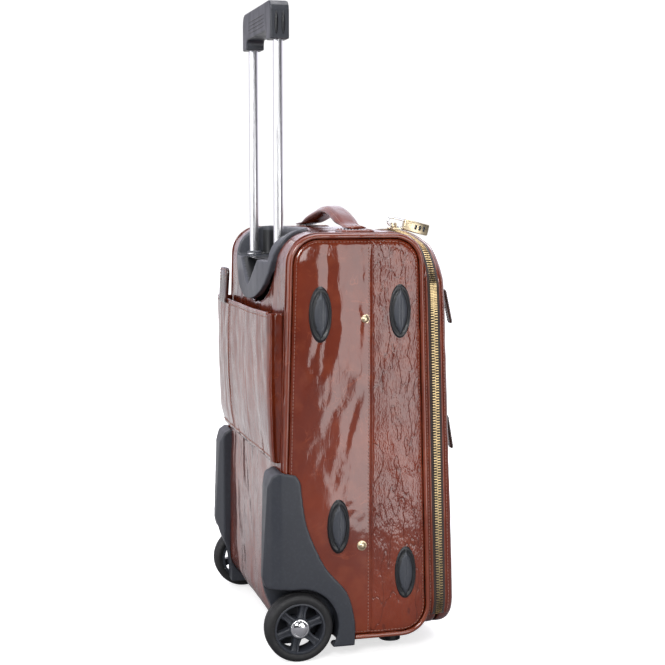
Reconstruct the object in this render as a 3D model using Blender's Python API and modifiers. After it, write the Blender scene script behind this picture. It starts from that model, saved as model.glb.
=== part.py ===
"""Two-wheeled leather pilot case with a telescopic trolley handle.

Metres, +Z up. The origin is on the floor, at the middle of the whole object's width and depth.
+X is the case's right side, +Y the front with the zipped lid, -Y the back with the trolley.
"""

import math

import bmesh
import bpy
from mathutils import Matrix, Vector

GAP = 0.0003

# Case body, seen from the side: a rounded box that is a little deeper at its base.
SIDE_X = 0.1705
SHELL_X = 0.1654
TOP_Z = 0.4983
BASE_Z = 0.0196
BACK_Y = (-0.1070, -0.0935)
FRONT_Y = (0.0799, 0.0671)
CORNER_R = 0.036
WALL = 0.004
SEAM = 0.006
PANEL_T = 0.006
PIPING_R = 0.0028

# Front opening: its plane leans back, and its corners are round when seen from the front.
LEAN = math.radians(1.66)
FRONT_CENTRE = Vector((0, 0.0847, 0.263))
FRONT_X = 0.1685
FRONT_TOP = 0.2333
FRONT_BASE = -0.2414
FRONT_R = 0.045
LID_DEPTH = 0.0180
LID_WALL = 0.003
POCKET_T = 0.0060
CHAIN_W = 0.0040
CHAIN_T = 0.0017

# Telescopic handle.
TUBE_X = 0.0713
TUBE_Y = -0.0831
UPPER_R = 0.0058
MIDDLE_R = 0.0068
SLEEVE_R = 0.0078
TUBE_WALL = 0.0007
CUP_FLOOR = 0.4637
GRIP_BASE = 0.7252
GRIP_TOP = 0.7710
GRIP_X = 0.0825
GRIP_HALF_DEPTH = 0.0115

# Wheels and their housings.
WHEEL_R = 0.040
WHEEL_Y = -0.0827
WHEEL_X = (0.1535, 0.1772)
RIM_R = 0.0302
AXLE_R = 0.0040
HOUSING_X = 0.1755
HOUSING_BACK = -0.1237
WELL_R = 0.0465
WELL_X = 0.1490
WELL_WALL = 0.0035

ROUND = 24

COLOURS = {
    "leather": ((0.22, 0.035, 0.016), 0.28, 0.0),
    "dark_leather": ((0.06, 0.012, 0.008), 0.4, 0.0),
    "black_plastic": ((0.018, 0.02, 0.023), 0.45, 0.0),
    "grey_plastic": ((0.05, 0.053, 0.06), 0.5, 0.0),
    "tyre_rubber": ((0.012, 0.012, 0.013), 0.7, 0.0),
    "tube_metal": ((0.75, 0.75, 0.77), 0.3, 1.0),
    "bright_steel": ((0.8, 0.8, 0.8), 0.15, 1.0),
    "brass": ((0.62, 0.45, 0.18), 0.3, 1.0),
}

for old in list(bpy.data.objects):
    bpy.data.objects.remove(old, do_unlink=True)
parts = bpy.data.collections.new("pilot_case")
cutters = bpy.data.collections.new("cutters")
bpy.context.scene.collection.children.link(parts)
bpy.context.scene.collection.children.link(cutters)


def make_material(name):
    colour, roughness, metallic = COLOURS[name]
    material = bpy.data.materials.new(name)
    material.use_nodes = True
    shader = material.node_tree.nodes["Principled BSDF"]
    shader.inputs["Base Color"].default_value = (*colour, 1)
    shader.inputs["Roughness"].default_value = roughness
    shader.inputs["Metallic"].default_value = metallic
    return material


MATERIALS = {name: make_material(name) for name in COLOURS}


# ---------------------------------------------------------------- outlines

def arc(centre, radius, start, end, steps):
    """Points on a circle from start to end, in degrees."""
    turn = [math.radians(start + (end - start) * i / steps) for i in range(steps + 1)]
    return [(centre[0] + radius * math.cos(a), centre[1] + radius * math.sin(a)) for a in turn]


def rounded(corners, radii, steps=6):
    """A polygon whose corners are replaced by arcs."""
    points = []
    count = len(corners)
    for i, (corner, radius) in enumerate(zip(corners, radii)):
        here = Vector(corner)
        back = (Vector(corners[i - 1]) - here).normalized()
        ahead = (Vector(corners[(i + 1) % count]) - here).normalized()
        if radius <= 0:
            points.append(tuple(here))
            continue
        half = back.angle(ahead) / 2
        centre = here + (back + ahead).normalized() * radius / math.sin(half)
        first = here + back * radius / math.tan(half) - centre
        last = here + ahead * radius / math.tan(half) - centre
        sweep = first.angle_signed(last)
        for k in range(steps + 1):
            turned = Matrix.Rotation(-sweep * k / steps, 2) @ first
            points.append(tuple(centre + turned))
    return points


def rectangle(low, high, radius=0.0, steps=4):
    corners = [(low[0], low[1]), (high[0], low[1]), (high[0], high[1]), (low[0], high[1])]
    return rounded(corners, [radius] * 4, steps)


def side_outline(inset):
    """The case's outline in Y and Z, moved in by inset."""
    low, high = BASE_Z + inset, TOP_Z - inset
    corners = [
        (BACK_Y[0] + inset, low),
        (FRONT_Y[0] - inset, low),
        (FRONT_Y[1] - inset, high),
        (BACK_Y[1] + inset, high),
    ]
    return rounded(corners, [CORNER_R - inset] * 4, 7)


def front_outline(inset):
    """The lid's outline in X and Z, about the middle of the front opening."""
    half = FRONT_X - inset
    low, high = FRONT_BASE + inset, FRONT_TOP - inset
    return rectangle((-half, low), (half, high), FRONT_R - inset, 8)


def smooth(points, steps=4):
    """A Catmull-Rom curve through the points, ends included."""
    padded = [points[0], *points, points[-1]]
    curve = []
    for a, b, c, d in zip(padded, padded[1:], padded[2:], padded[3:]):
        for i in range(steps):
            t = i / steps
            weights = (
                -0.5 * t + t**2 - 0.5 * t**3,
                1 - 2.5 * t**2 + 1.5 * t**3,
                0.5 * t + 2 * t**2 - 1.5 * t**3,
                -0.5 * t**2 + 0.5 * t**3,
            )
            curve.append(tuple(
                sum(w * p[k] for w, p in zip(weights, (a, b, c, d))) for k in range(2)
            ))
    return [*curve, points[-1]]


# ---------------------------------------------------------------- builders

TURNS = {
    "X": Matrix(((0, 0, 1, 0), (1, 0, 0, 0), (0, 1, 0, 0), (0, 0, 0, 1))),
    "Y": Matrix(((1, 0, 0, 0), (0, 0, -1, 0), (0, 1, 0, 0), (0, 0, 0, 1))),
    "Z": Matrix.Identity(4),
}
FRONT = Matrix.Translation(FRONT_CENTRE) @ Matrix.Rotation(LEAN, 4, "X")


def add_object(name, mesh, colour):
    obj = bpy.data.objects.new(name, mesh)
    mesh.name = name
    if colour is None:
        cutters.objects.link(obj)
        obj.hide_render = True
        obj.display_type = "WIRE"
    else:
        parts.objects.link(obj)
        mesh.materials.clear()
        mesh.materials.append(MATERIALS[colour])
    return obj


def plate(name, outline, axis, low, high, colour=None, place=None):
    """A flat outline extruded along X, Y or Z, from low to high."""
    curve = bpy.data.curves.new(name, "CURVE")
    curve.dimensions = "2D"
    curve.fill_mode = "BOTH"
    curve.extrude = (high - low) / 2
    spline = curve.splines.new("POLY")
    spline.points.add(len(outline) - 1)
    for point, (u, v) in zip(spline.points, outline):
        point.co = (u, v, 0, 1)
    spline.use_cyclic_u = True
    drawn = bpy.data.objects.new(name + "_drawn", curve)
    parts.objects.link(drawn)
    mesh = mesh_of(drawn)
    middle = (low + high) / 2
    shift = {"X": (middle, 0, 0), "Y": (0, middle, 0), "Z": (0, 0, middle)}[axis]
    mesh.transform(Matrix.Translation(shift) @ TURNS[axis])
    if place is not None:
        mesh.transform(place)
    return add_object(name, mesh, colour)


def mesh_of(drawn):
    """The welded mesh of a curve, which is then removed."""
    graph = bpy.context.evaluated_depsgraph_get()
    mesh = bpy.data.meshes.new_from_object(drawn.evaluated_get(graph))
    work = bmesh.new()
    work.from_mesh(mesh)
    bmesh.ops.remove_doubles(work, verts=work.verts, dist=1e-6)
    bmesh.ops.dissolve_limit(
        work, angle_limit=math.radians(0.5), verts=work.verts, edges=work.edges
    )
    bmesh.ops.recalc_face_normals(work, faces=work.faces)
    work.to_mesh(mesh)
    work.free()
    mesh.transform(drawn.matrix_world)
    bpy.data.objects.remove(drawn, do_unlink=True)
    return mesh


def box(name, low, high, colour=None, place=None):
    outline = rectangle(low[:2], high[:2])
    return plate(name, outline, "Z", low[2], high[2], colour, place)


def wire(name, points, radius, colour, cyclic=False, sides=2):
    """A round wire along points, with closed ends."""
    curve = bpy.data.curves.new(name, "CURVE")
    curve.dimensions = "3D"
    curve.bevel_depth = radius
    curve.bevel_resolution = sides
    curve.use_fill_caps = not cyclic
    spline = curve.splines.new("POLY")
    spline.points.add(len(points) - 1)
    for point, co in zip(spline.points, points):
        point.co = (*co, 1)
    spline.use_cyclic_u = cyclic
    drawn = bpy.data.objects.new(name + "_drawn", curve)
    parts.objects.link(drawn)
    obj = add_object(name, mesh_of(drawn), colour)
    obj.data.shade_smooth()
    return obj


def turned(name, profile, centre, colour, axis="Z", steps=ROUND):
    """A profile of (radius, height) points turned about an axis through centre.

    The profile is a closed ring, unless its two ends lie on the axis.
    """
    mesh = bpy.data.meshes.new(name)
    work = bmesh.new()
    verts = [work.verts.new((r, 0, h)) for r, h in profile]
    pairs = list(zip(verts, verts[1:]))
    if profile[-1][0] > 0:
        pairs.append((verts[-1], verts[0]))
    for a, b in pairs:
        work.edges.new((a, b))
    edges = list(work.edges)
    bmesh.ops.spin(
        work, geom=verts + edges, cent=(0, 0, 0), axis=(0, 0, 1),
        angle=2 * math.pi, steps=steps, use_merge=True,
    )
    bmesh.ops.remove_doubles(work, verts=work.verts, dist=1e-6)
    bmesh.ops.recalc_face_normals(work, faces=work.faces)
    work.to_mesh(mesh)
    work.free()
    mesh.transform({"X": Matrix.Rotation(math.pi / 2, 4, "Y"), "Z": Matrix.Identity(4),
                    "Y": Matrix.Rotation(-math.pi / 2, 4, "X")}[axis])
    obj = add_object(name, mesh, colour)
    obj.location = centre
    mesh.shade_smooth()
    mesh.set_sharp_from_angle(angle=math.radians(40))
    return obj


def dome(name, centre, radii, direction, colour, segments=16, rings=8):
    """Half of an ellipsoid, flat side at centre, round side towards direction along X."""
    work = bmesh.new()
    bmesh.ops.create_uvsphere(work, u_segments=segments, v_segments=rings, radius=1)
    bmesh.ops.rotate(work, verts=work.verts, matrix=Matrix.Rotation(math.pi / 2, 3, "Y"))
    bmesh.ops.scale(work, verts=work.verts, vec=radii)
    everything = [*work.verts, *work.edges, *work.faces]
    cut = bmesh.ops.bisect_plane(
        work, geom=everything, plane_co=(0, 0, 0), plane_no=(direction, 0, 0),
        clear_inner=True, dist=1e-7,
    )
    rim = [e for e in cut["geom_cut"] if isinstance(e, bmesh.types.BMEdge)]
    bmesh.ops.holes_fill(work, edges=rim, sides=0)
    bmesh.ops.recalc_face_normals(work, faces=work.faces)
    mesh = bpy.data.meshes.new(name)
    work.to_mesh(mesh)
    work.free()
    obj = add_object(name, mesh, colour)
    obj.location = centre
    mesh.shade_smooth()
    mesh.set_sharp_from_angle(angle=math.radians(50))
    return obj


def combine(obj, other, operation):
    boolean = obj.modifiers.new(operation.lower(), "BOOLEAN")
    boolean.operation = operation
    boolean.solver = "EXACT"
    boolean.object = other
    return obj


def cut(obj, other):
    return combine(obj, other, "DIFFERENCE")


def join(obj, other):
    return combine(obj, other, "UNION")


def soften(obj, width, segments=2, angle=40):
    bevel = obj.modifiers.new("edges", "BEVEL")
    bevel.width = width
    bevel.segments = segments
    bevel.limit_method = "ANGLE"
    bevel.angle_limit = math.radians(angle)
    return obj


def set_origin(obj, point):
    """Puts the object's origin at point and leaves its surface where it is."""
    obj.data.transform(Matrix.Translation(obj.location - Vector(point)))
    obj.location = point
    return obj


def front_plate(name, inset, low, high, colour=None):
    return plate(name, front_outline(inset), "Y", low, high, colour, FRONT)


# ---------------------------------------------------------------- wheel housings

def housing_outline():
    """Side outline of a wheel housing, foot at the lower front."""
    front = smooth([
        (-0.0165, 0.0145), (-0.0162, 0.0420), (-0.0260, 0.0790), (-0.0520, 0.1105),
        (-0.0729, 0.1567), (-0.0794, 0.1923), (-0.0815, 0.2120),
    ])
    top = [(-0.0870, 0.2210), (-0.1050, 0.2250), (-0.1140, 0.2205)]
    heel = [(-0.1225, 0.0960), (-0.1180, 0.0800), (-0.1085, 0.0560), (-0.1055, 0.0300), (-0.1050, 0.0145)]
    return front + top + [(-0.1190, 0.2070), (HOUSING_BACK, 0.1000)] + heel


def well_outline(radius, back_y, base_z):
    """The wheel arch: round in front and on top, rising gently to the back."""
    centre = (WHEEL_Y, WHEEL_R)
    drop = max(-1, (base_z - WHEEL_R) / radius)
    front = arc(centre, radius, max(-38, math.degrees(math.asin(drop))), 96, 20)
    foot = [(front[0][0], base_z)] if front[0][1] > base_z + GAP else []
    back_z = front[-1][1] + 0.06 * (front[-1][0] - back_y)
    return [*foot, *front, (back_y, back_z), (back_y, base_z)]


def mirrored(points):
    return [(-x, y) for x, y in reversed(points)]


def wheel_housing(name, side):
    inner = SIDE_X + 0.0011
    housing = plate(
        name, housing_outline(), "X", *sorted((side * 0.12, side * 0.18)), "black_plastic"
    )
    plan = [
        (HOUSING_X, 0.0100), (HOUSING_X, -0.1060), (0.1700, -0.1155), (0.1590, HOUSING_BACK),
        (0.1500, HOUSING_BACK), (0.1290, -0.1150), (0.1280, -0.0850), (0.1600, -0.0850),
        (0.1600, 0.0100),
    ]
    block = plate(name + "_plan", plan if side > 0 else mirrored(plan), "Z", 0.0, 0.26)
    combine(housing, block, "INTERSECT")
    behind = plate(
        name + "_behind", side_outline(-GAP), "X", *sorted((side * 0.1, side * inner))
    )
    cut(housing, behind)
    arch = well_outline(WELL_R + WELL_WALL, -0.1060, 0.0245)
    well = plate(
        name + "_well", arch, "X", *sorted((side * (WELL_X - WELL_WALL), side * (inner + 0.001)))
    )
    join(housing, well)
    cavity = plate(
        name + "_cavity", well_outline(WELL_R, -0.150, -0.02), "X", *sorted((side * WELL_X, side * 0.2))
    )
    cut(housing, cavity)
    hole = turned(
        name + "_hole", [(0, 0.2), (AXLE_R + GAP, 0.2), (AXLE_R + GAP, 0.1), (0, 0.1)],
        (0 if side > 0 else -0.3, WHEEL_Y, WHEEL_R), None, "X", 16,
    )
    cut(housing, hole)
    return housing


def wheel_clearance(name, side):
    """The room that a wheel well takes out of the case's corner."""
    outline = well_outline(WELL_R + WELL_WALL + GAP, -0.150, -0.02)
    return plate(
        name, outline, "X", *sorted((side * (WELL_X - WELL_WALL - GAP), side * 0.3))
    )


clearances = [wheel_clearance("clearance_left", -1), wheel_clearance("clearance_right", 1)]
wheel_housing("wheel_housing_left", -1)
wheel_housing("wheel_housing_right", 1)


# ---------------------------------------------------------------- wheels

def wheel(label, side):
    centre = (side * sum(WHEEL_X) / 2, WHEEL_Y, WHEEL_R)
    half = (WHEEL_X[1] - WHEEL_X[0]) / 2
    tread = [
        (RIM_R + GAP, half - 0.001), (WHEEL_R - 0.004, half), (WHEEL_R - 0.001, half - 0.002),
        (WHEEL_R, half - 0.005), (WHEEL_R, 0.005 - half), (WHEEL_R - 0.001, 0.002 - half),
        (WHEEL_R - 0.004, -half), (RIM_R + GAP, 0.001 - half),
    ]
    turned("tyre_" + label, tread, centre, "tyre_rubber", "X", 36)
    out = half - 0.0012
    disc = [
        (AXLE_R + GAP, out - 0.002), (0.0125, out - 0.002), (0.0125, 0.006), (0.0265, 0.007),
        (0.0275, out), (RIM_R, out), (RIM_R, -out), (0.0275, -out), (0.0265, -0.002),
        (0.0110, -0.003), (0.0110, -half - 0.002), (AXLE_R + GAP, -half - 0.002),
    ]
    profile = disc if side > 0 else [(r, -h) for r, h in reversed(disc)]
    rim = turned("rim_" + label, profile, centre, "black_plastic", "X", 36)
    for k in range(6):
        window = plate(
            f"window_{label}_{k}", rectangle((0.0150, -0.0042), (0.0245, 0.0042), 0.003, 3),
            "Z", -0.05, 0.05,
        )
        turn = Matrix.Rotation(math.radians(60 * k + 30), 4, "X") @ Matrix.Rotation(
            math.pi / 2, 4, "Y"
        )
        window.data.transform(turn)
        window.location = centre
        cut(rim, window)
    dome_x = side * (WHEEL_X[1] - 0.0029)
    dome("hub_cap_" + label, (dome_x, WHEEL_Y, WHEEL_R), (0.0039, 0.0112, 0.0112), side,
         "bright_steel", 20, 8)
    ends = sorted((side * (WELL_X - WELL_WALL - 0.002), side * (WHEEL_X[1] - 0.0040)))
    shaft = [(0, ends[1]), (AXLE_R, ends[1]), (AXLE_R, ends[0]), (0, ends[0])]
    turned("axle_" + label, shaft, (0, WHEEL_Y, WHEEL_R), "tube_metal", "X", 16)


wheel("left", -1)
wheel("right", 1)


# ---------------------------------------------------------------- trolley handle

def oval_mask(name, axis, half, near, far, end, grow):
    """Half an ellipse with a straight stretch: the trolley surround seen along an axis."""
    points = arc((0, 0), 1, 180, 360, 16)
    reach = far - near
    curve = [(x * (half + grow), near + abs(y) * (reach + math.copysign(grow, reach)))
             for x, y in points]
    outline = [*curve, (half + grow, end), (-half - grow, end)]
    low, high = {"Y": (-0.2, 0.0), "Z": (0.38, 0.6)}[axis]
    return plate(name, outline, axis, low, high)


def surround_masks(name, grow):
    back = oval_mask(name + "_back", "Y", 0.114, 0.4975, 0.411, 0.55, grow)
    top = oval_mask(name + "_top", "Z", 0.114, -0.0935, -0.036, -0.15, grow)
    return back, top


def trolley_surround():
    outer = [p for p in side_outline(-0.0035) if p[0] < -0.03 and p[1] > 0.40]
    outline = [
        (-0.0340, TOP_Z + 0.0035), *outer, (-0.0995, 0.405), (-0.0914, 0.405),
        (-0.0914, 0.4515), (-0.0520, 0.4515), (-0.0520, 0.4880), (-0.0340, 0.4960),
    ]
    surround = plate("trolley_surround", outline, "X", -0.125, 0.125, "grey_plastic")
    for mask in surround_masks("surround_mask", 0.0):
        combine(surround, mask, "INTERSECT")
    cup = rectangle((-0.0925, -0.16), (0.0925, -0.058), 0.012, 4)
    cut(surround, plate("cup_room", cup, "Z", CUP_FLOOR, 0.6))
    scoop = rounded([(-0.052, 0.4660), (0.052, 0.4660), (0.0, 0.4290)], [0, 0, 0.010], 4)
    cut(surround, plate("scoop_room", scoop, "Y", -0.2, -0.0960))
    for side in (-1, 1):
        hole = [(0, 0.52), (MIDDLE_R + GAP, 0.52), (MIDDLE_R + GAP, 0.42), (0, 0.42)]
        cut(surround, turned(f"tube_hole_{side}", hole, (side * TUBE_X, TUBE_Y, 0), None))
    return surround


def tube_set(label, side):
    at = (side * TUBE_X, TUBE_Y, 0)
    sleeve = [
        (SLEEVE_R, 0.435), (SLEEVE_R, 0.0985), (SLEEVE_R - TUBE_WALL, 0.0985),
        (SLEEVE_R - TUBE_WALL, 0.435),
    ]
    turned("outer_sleeve_" + label, sleeve, at, "tube_metal")
    low, high = CUP_FLOOR + GAP, CUP_FLOOR + 0.0056
    middle = [
        (MIDDLE_R + 0.0016, high), (MIDDLE_R + 0.0022, high - 0.001),
        (MIDDLE_R + 0.0022, low + 0.001), (MIDDLE_R + 0.0016, low), (MIDDLE_R, low),
        (MIDDLE_R, 0.150), (MIDDLE_R - TUBE_WALL, 0.150), (MIDDLE_R - TUBE_WALL, high),
    ]
    turned("middle_tube_" + label, middle, at, "tube_metal")
    top = GRIP_TOP - 0.0140
    upper = [
        (UPPER_R, top), (UPPER_R, 0.437), (UPPER_R - TUBE_WALL, 0.437),
        (UPPER_R - TUBE_WALL, top),
    ]
    turned("upper_tube_" + label, upper, at, "tube_metal")


def grip():
    outline = rounded(
        [(-GRIP_X, GRIP_BASE), (-0.0580, GRIP_BASE), (-0.0580, 0.7370), (0.0580, 0.7370),
         (0.0580, GRIP_BASE), (GRIP_X, GRIP_BASE), (GRIP_X, GRIP_TOP), (-GRIP_X, GRIP_TOP)],
        [0.001, 0.001, 0.006, 0.006, 0.001, 0.001, 0.012, 0.012], 3,
    )
    low, high = TUBE_Y - GRIP_HALF_DEPTH, TUBE_Y + GRIP_HALF_DEPTH
    body = soften(plate("grip", outline, "Y", low, high, "black_plastic"), 0.0035, 2)
    for side in (-1, 1):
        top = GRIP_TOP - 0.0137
        hole = [(0, top), (UPPER_R + GAP, top), (UPPER_R + GAP, 0.70), (0, 0.70)]
        cut(body, turned(f"grip_hole_{side}", hole, (side * TUBE_X, TUBE_Y, 0), None))
    cut(body, box("button_room", (-0.0204, TUBE_Y - 0.0054, GRIP_TOP - 0.0070),
                  (0.0204, TUBE_Y + 0.0054, GRIP_TOP + 0.01)))
    button = box("release_button", (-0.0200, TUBE_Y - 0.0050, GRIP_TOP - 0.0048),
                 (0.0200, TUBE_Y + 0.0050, GRIP_TOP + 0.0010), "grey_plastic")
    soften(button, 0.0006, 2)


trolley_surround()
tube_set("left", -1)
tube_set("right", 1)
grip()
box("sleeve_foot_bracket", (-0.0850, -0.1000, 0.0880), (0.0850, -0.0740, 0.0982), "grey_plastic")


# ---------------------------------------------------------------- case body

def body_shell():
    end = SHELL_X + 0.001
    shell = plate("body_shell", side_outline(0), "X", -end, end, "leather")
    collar = front_plate("collar", 0, -0.0575, -GAP)
    join(shell, collar)
    cut(shell, plate("inside", side_outline(WALL), "X", -0.2, 0.2))
    cut(shell, front_plate("opening", WALL, -0.0560, 0.05))
    for side in (-1, 1):
        room = plate(f"side_room_{side}", side_outline(-GAP), "X",
                     *sorted((side * SHELL_X, side * 0.2)))
        cut(shell, room)
    for clearance in clearances:
        cut(shell, clearance)
    room = box("surround_room", (-0.13, -0.15, 0.38), (0.13, -0.03, 0.58))
    for mask in surround_masks("room_mask", GAP):
        combine(room, mask, "INTERSECT")
    cut(shell, room)
    return shell


def side_panel(name, side, clearance):
    low, high = sorted((side * (SIDE_X - PANEL_T), side * SIDE_X))
    panel = plate(name, side_outline(SEAM + 0.0002), "X", low, high, "leather")
    return cut(panel, clearance)


def side_piping(name, side):
    """A bead round the side panel, from the housing's front round to its back."""
    loop = side_outline(SEAM / 2)
    start = next(i for i, (y, z) in enumerate(loop) if y > 0)
    loop = loop[start:] + loop[:start]
    points = [(-0.0150, loop[0][1])]
    points += [p for p in loop if p[1] > 0.1 or p[0] > 0]
    end_z = 0.1100
    share = (end_z - BASE_Z) / (TOP_Z - BASE_Z)
    points.append((BACK_Y[0] + (BACK_Y[1] - BACK_Y[0]) * share + SEAM / 2, end_z))
    x = side * (SHELL_X + PIPING_R + GAP)
    return wire(name, [(x, y, z) for y, z in points], PIPING_R, "leather")


body_shell()
side_panel("side_panel_left", -1, clearances[0])
side_panel("side_panel_right", 1, clearances[1])
side_piping("side_piping_left", -1)
side_piping("side_piping_right", 1)

FEET = {
    "top_back": (-0.0571, 0.4058), "top_front": (0.0380, 0.4080),
    "low_back": (-0.0355, 0.1577), "low_front": (0.0461, 0.0978),
}
STUDS = {"top": (-0.0043, 0.4000), "low": (-0.0073, 0.1333)}
for label, side in (("left", -1), ("right", 1)):
    face = side * (SIDE_X + GAP)
    for place, (y, z) in FEET.items():
        dome(f"side_foot_{place}_{label}", (face, y, z), (0.0062, 0.0135, 0.0325), side,
             "black_plastic")
    for place, (y, z) in STUDS.items():
        dome(f"side_stud_{place}_{label}", (face, y, z), (0.0028, 0.0058, 0.0058), side,
             "brass", 12, 6)
    foot = [(0, BASE_Z - GAP), (0.0110, BASE_Z - GAP), (0.0130, 0.0), (0, 0.0)]
    turned("front_foot_" + label, foot, (side * 0.115, 0.045, 0), "black_plastic")


# ---------------------------------------------------------------- lid

def lid():
    """A tray whose front edge is round; its back half, past the zip, is cut away."""
    tray = front_plate("front_lid", 0, -0.0300, LID_DEPTH, "leather")
    soften(tray, 0.011, 4, 60)
    cut(tray, front_plate("lid_back", -0.01, -0.05, GAP))
    room = front_plate("lid_room", LID_WALL, -0.03, LID_DEPTH - LID_WALL)
    return cut(tray, soften(room, 0.008, 3, 60))


def zip_chain(name, low, high):
    """A band of zip teeth round the sides and top of the opening."""
    chain = front_plate(name, -CHAIN_T - GAP, low, high, "brass")
    cut(chain, front_plate(name + "_room", -GAP, -0.02, 0.02))
    below = box(name + "_below", (-0.2, -0.1, -0.30), (0.2, 0.1, -0.1900), None, FRONT)
    return cut(chain, below)


def front_pocket(name, low, high):
    outline = rectangle((-0.1350, low), (0.1350, high), 0.016, 4)
    pocket = plate(name, outline, "Y", LID_DEPTH + GAP, LID_DEPTH + POCKET_T, "leather", FRONT)
    return soften(pocket, 0.004, 2, 60)


def pocket_pull(label, z, reach):
    """A zip slider on a pocket and the leather tab that hangs from it."""
    x = 0.1220
    face = LID_DEPTH + POCKET_T + GAP
    box("pocket_slider_" + label, (x - 0.004, face, z - 0.005), (x + 0.004, face + 0.0028, z + 0.005),
        "brass", FRONT)
    pivot = FRONT @ Vector((x, face + 0.0048, z - 0.0030))
    tab = rectangle((-0.0060, -0.0430), (0.0060, 0.0), 0.003, 3)
    strap = plate("pull_tab_" + label, tab, "Y", -0.0013, 0.0013, "dark_leather",
                  Matrix.Translation(pivot) @ Matrix.Rotation(math.radians(reach), 4, "X"))
    return set_origin(strap, pivot)


lid_hinge = FRONT @ Vector((0, 0, FRONT_BASE))
set_origin(lid(), lid_hinge)
zip_chain("zip_chain_body", -CHAIN_W - 0.0002, -0.0002)
set_origin(zip_chain("zip_chain_lid", 0.0002, CHAIN_W + 0.0002), lid_hinge)
set_origin(front_pocket("front_pocket_upper", 0.0360, 0.1780), lid_hinge)
set_origin(front_pocket("front_pocket_lower", -0.1900, 0.0250), lid_hinge)
pocket_pull("upper", 0.1690, 12)
pocket_pull("lower", 0.0160, 9.6)


# ---------------------------------------------------------------- zip sliders and padlock

LOCK_X = 0.0220
LOCK_Y = 0.0900
LOCK_Z = 0.5048
LOCK_LENGTH = 0.0330
LOCK_HALF_Z = 0.0070
LOCK_HALF_X = 0.0055
LOCK_DROP = math.radians(14)
SHACKLE_R = 0.0013
SHACKLE_HALF = 0.0050
LOCK = Matrix.Translation((LOCK_X, LOCK_Y, LOCK_Z)) @ Matrix.Rotation(-LOCK_DROP, 4, "X")
DIALS = (0.0155, 0.0210, 0.0265)
DIAL_R = 0.0061
DIAL_HALF = 0.0014


def along_shackle(name, radius, low, high, offset):
    """A round cutter along one leg of the shackle."""
    profile = [(0, high), (radius, high), (radius, low), (0, low)]
    hole = turned(name, profile, LOCK @ Vector((0, 0, offset)), None, "Y", 12)
    hole.rotation_euler = (-LOCK_DROP, 0, 0)
    return hole


def zip_slider(name, side, arm_y):
    """A slider astride both chains, with an arm whose eye takes the padlock's shackle."""
    base = FRONT_TOP + CHAIN_T + 2 * GAP
    near, far = sorted((LOCK_X + side * 0.0036, LOCK_X + side * 0.0130))
    slider = box(name, (near, -0.0055, base), (far, 0.0055, base + 0.0022), "brass", FRONT)
    inner, outer = sorted((LOCK_X - side * 0.0030, LOCK_X + side * 0.0060))
    arm = rectangle((inner, base + 0.0012), (outer, base + 0.0085), 0.0020, 3)
    join(slider, plate(name + "_arm", arm, "Y", arm_y - 0.0006, arm_y + 0.0006, None, FRONT))
    return cut(slider, along_shackle(name + "_eye", 0.0019, -0.03, 0.01, -SHACKLE_HALF))


def padlock():
    body = plate("padlock_body", rectangle((-LOCK_HALF_X, -LOCK_HALF_Z), (LOCK_HALF_X, LOCK_HALF_Z),
                                           0.0012, 2), "Y", 0, LOCK_LENGTH, "brass", LOCK)
    for k, y in enumerate(DIALS):
        cut(body, box(f"dial_room_{k}", (-0.01, y - DIAL_HALF - GAP, -DIAL_R - GAP),
                      (0.01, y + DIAL_HALF + GAP, DIAL_R + GAP), None, LOCK))
        rim = [(0, DIAL_HALF), (DIAL_R, DIAL_HALF), (DIAL_R, -DIAL_HALF), (0, -DIAL_HALF)]
        dial = turned(f"padlock_dial_{k + 1}", rim, (0, 0, 0), "black_plastic", "Y", 20)
        dial.rotation_euler = (-LOCK_DROP, 0, 0)
        dial.location = LOCK @ Vector((0, y, 0))
    for side in (-1, 1):
        cut(body, along_shackle(f"shackle_hole_{side}", SHACKLE_R + GAP, -0.01, 0.01,
                                side * SHACKLE_HALF))
    bend = arc((-0.0160, 0), SHACKLE_HALF, 90, 270, 8)
    path = [(0.0085, SHACKLE_HALF), *bend, (0.0085, -SHACKLE_HALF)]
    wire("padlock_shackle", [LOCK @ Vector((0, y, z)) for y, z in path], SHACKLE_R, "bright_steel")


zip_slider("zip_slider_left", -1, -0.0024)
zip_slider("zip_slider_right", 1, 0.0012)
padlock()


# ---------------------------------------------------------------- carry handle and back pocket

HANDLE_HALF = 0.115
HANDLE_Y = 0.0025
ANCHOR_T = 0.0020


def carry_handle():
    """A strap along X, arched over its middle and flat on its anchors."""
    low = TOP_Z + 2 * GAP + ANCHOR_T
    rise = smooth([(-HANDLE_HALF, low + 0.0050), (-0.085, low + 0.0055), (-0.045, 0.5200),
                   (0.0, 0.5285), (0.045, 0.5200), (0.085, low + 0.0055),
                   (HANDLE_HALF, low + 0.0050)], 3)
    under = smooth([(HANDLE_HALF, low), (0.082, low), (0.045, 0.5125), (0.0, 0.5205),
                    (-0.045, 0.5125), (-0.082, low), (-HANDLE_HALF, low)], 3)
    under = [(x, max(z, low)) for x, z in under]
    strap = plate("carry_handle", rise + under, "Y", HANDLE_Y - 0.0140, HANDLE_Y + 0.0140, "leather")
    soften(strap, 0.0015, 2, 60)
    for label, side in (("left", -1), ("right", 1)):
        middle = side * 0.105
        outline = rectangle((middle - 0.022, HANDLE_Y - 0.020), (middle + 0.022, HANDLE_Y + 0.020),
                            0.008, 3)
        plate("handle_anchor_" + label, outline, "Z", TOP_Z + GAP, TOP_Z + GAP + ANCHOR_T, "leather")


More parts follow.
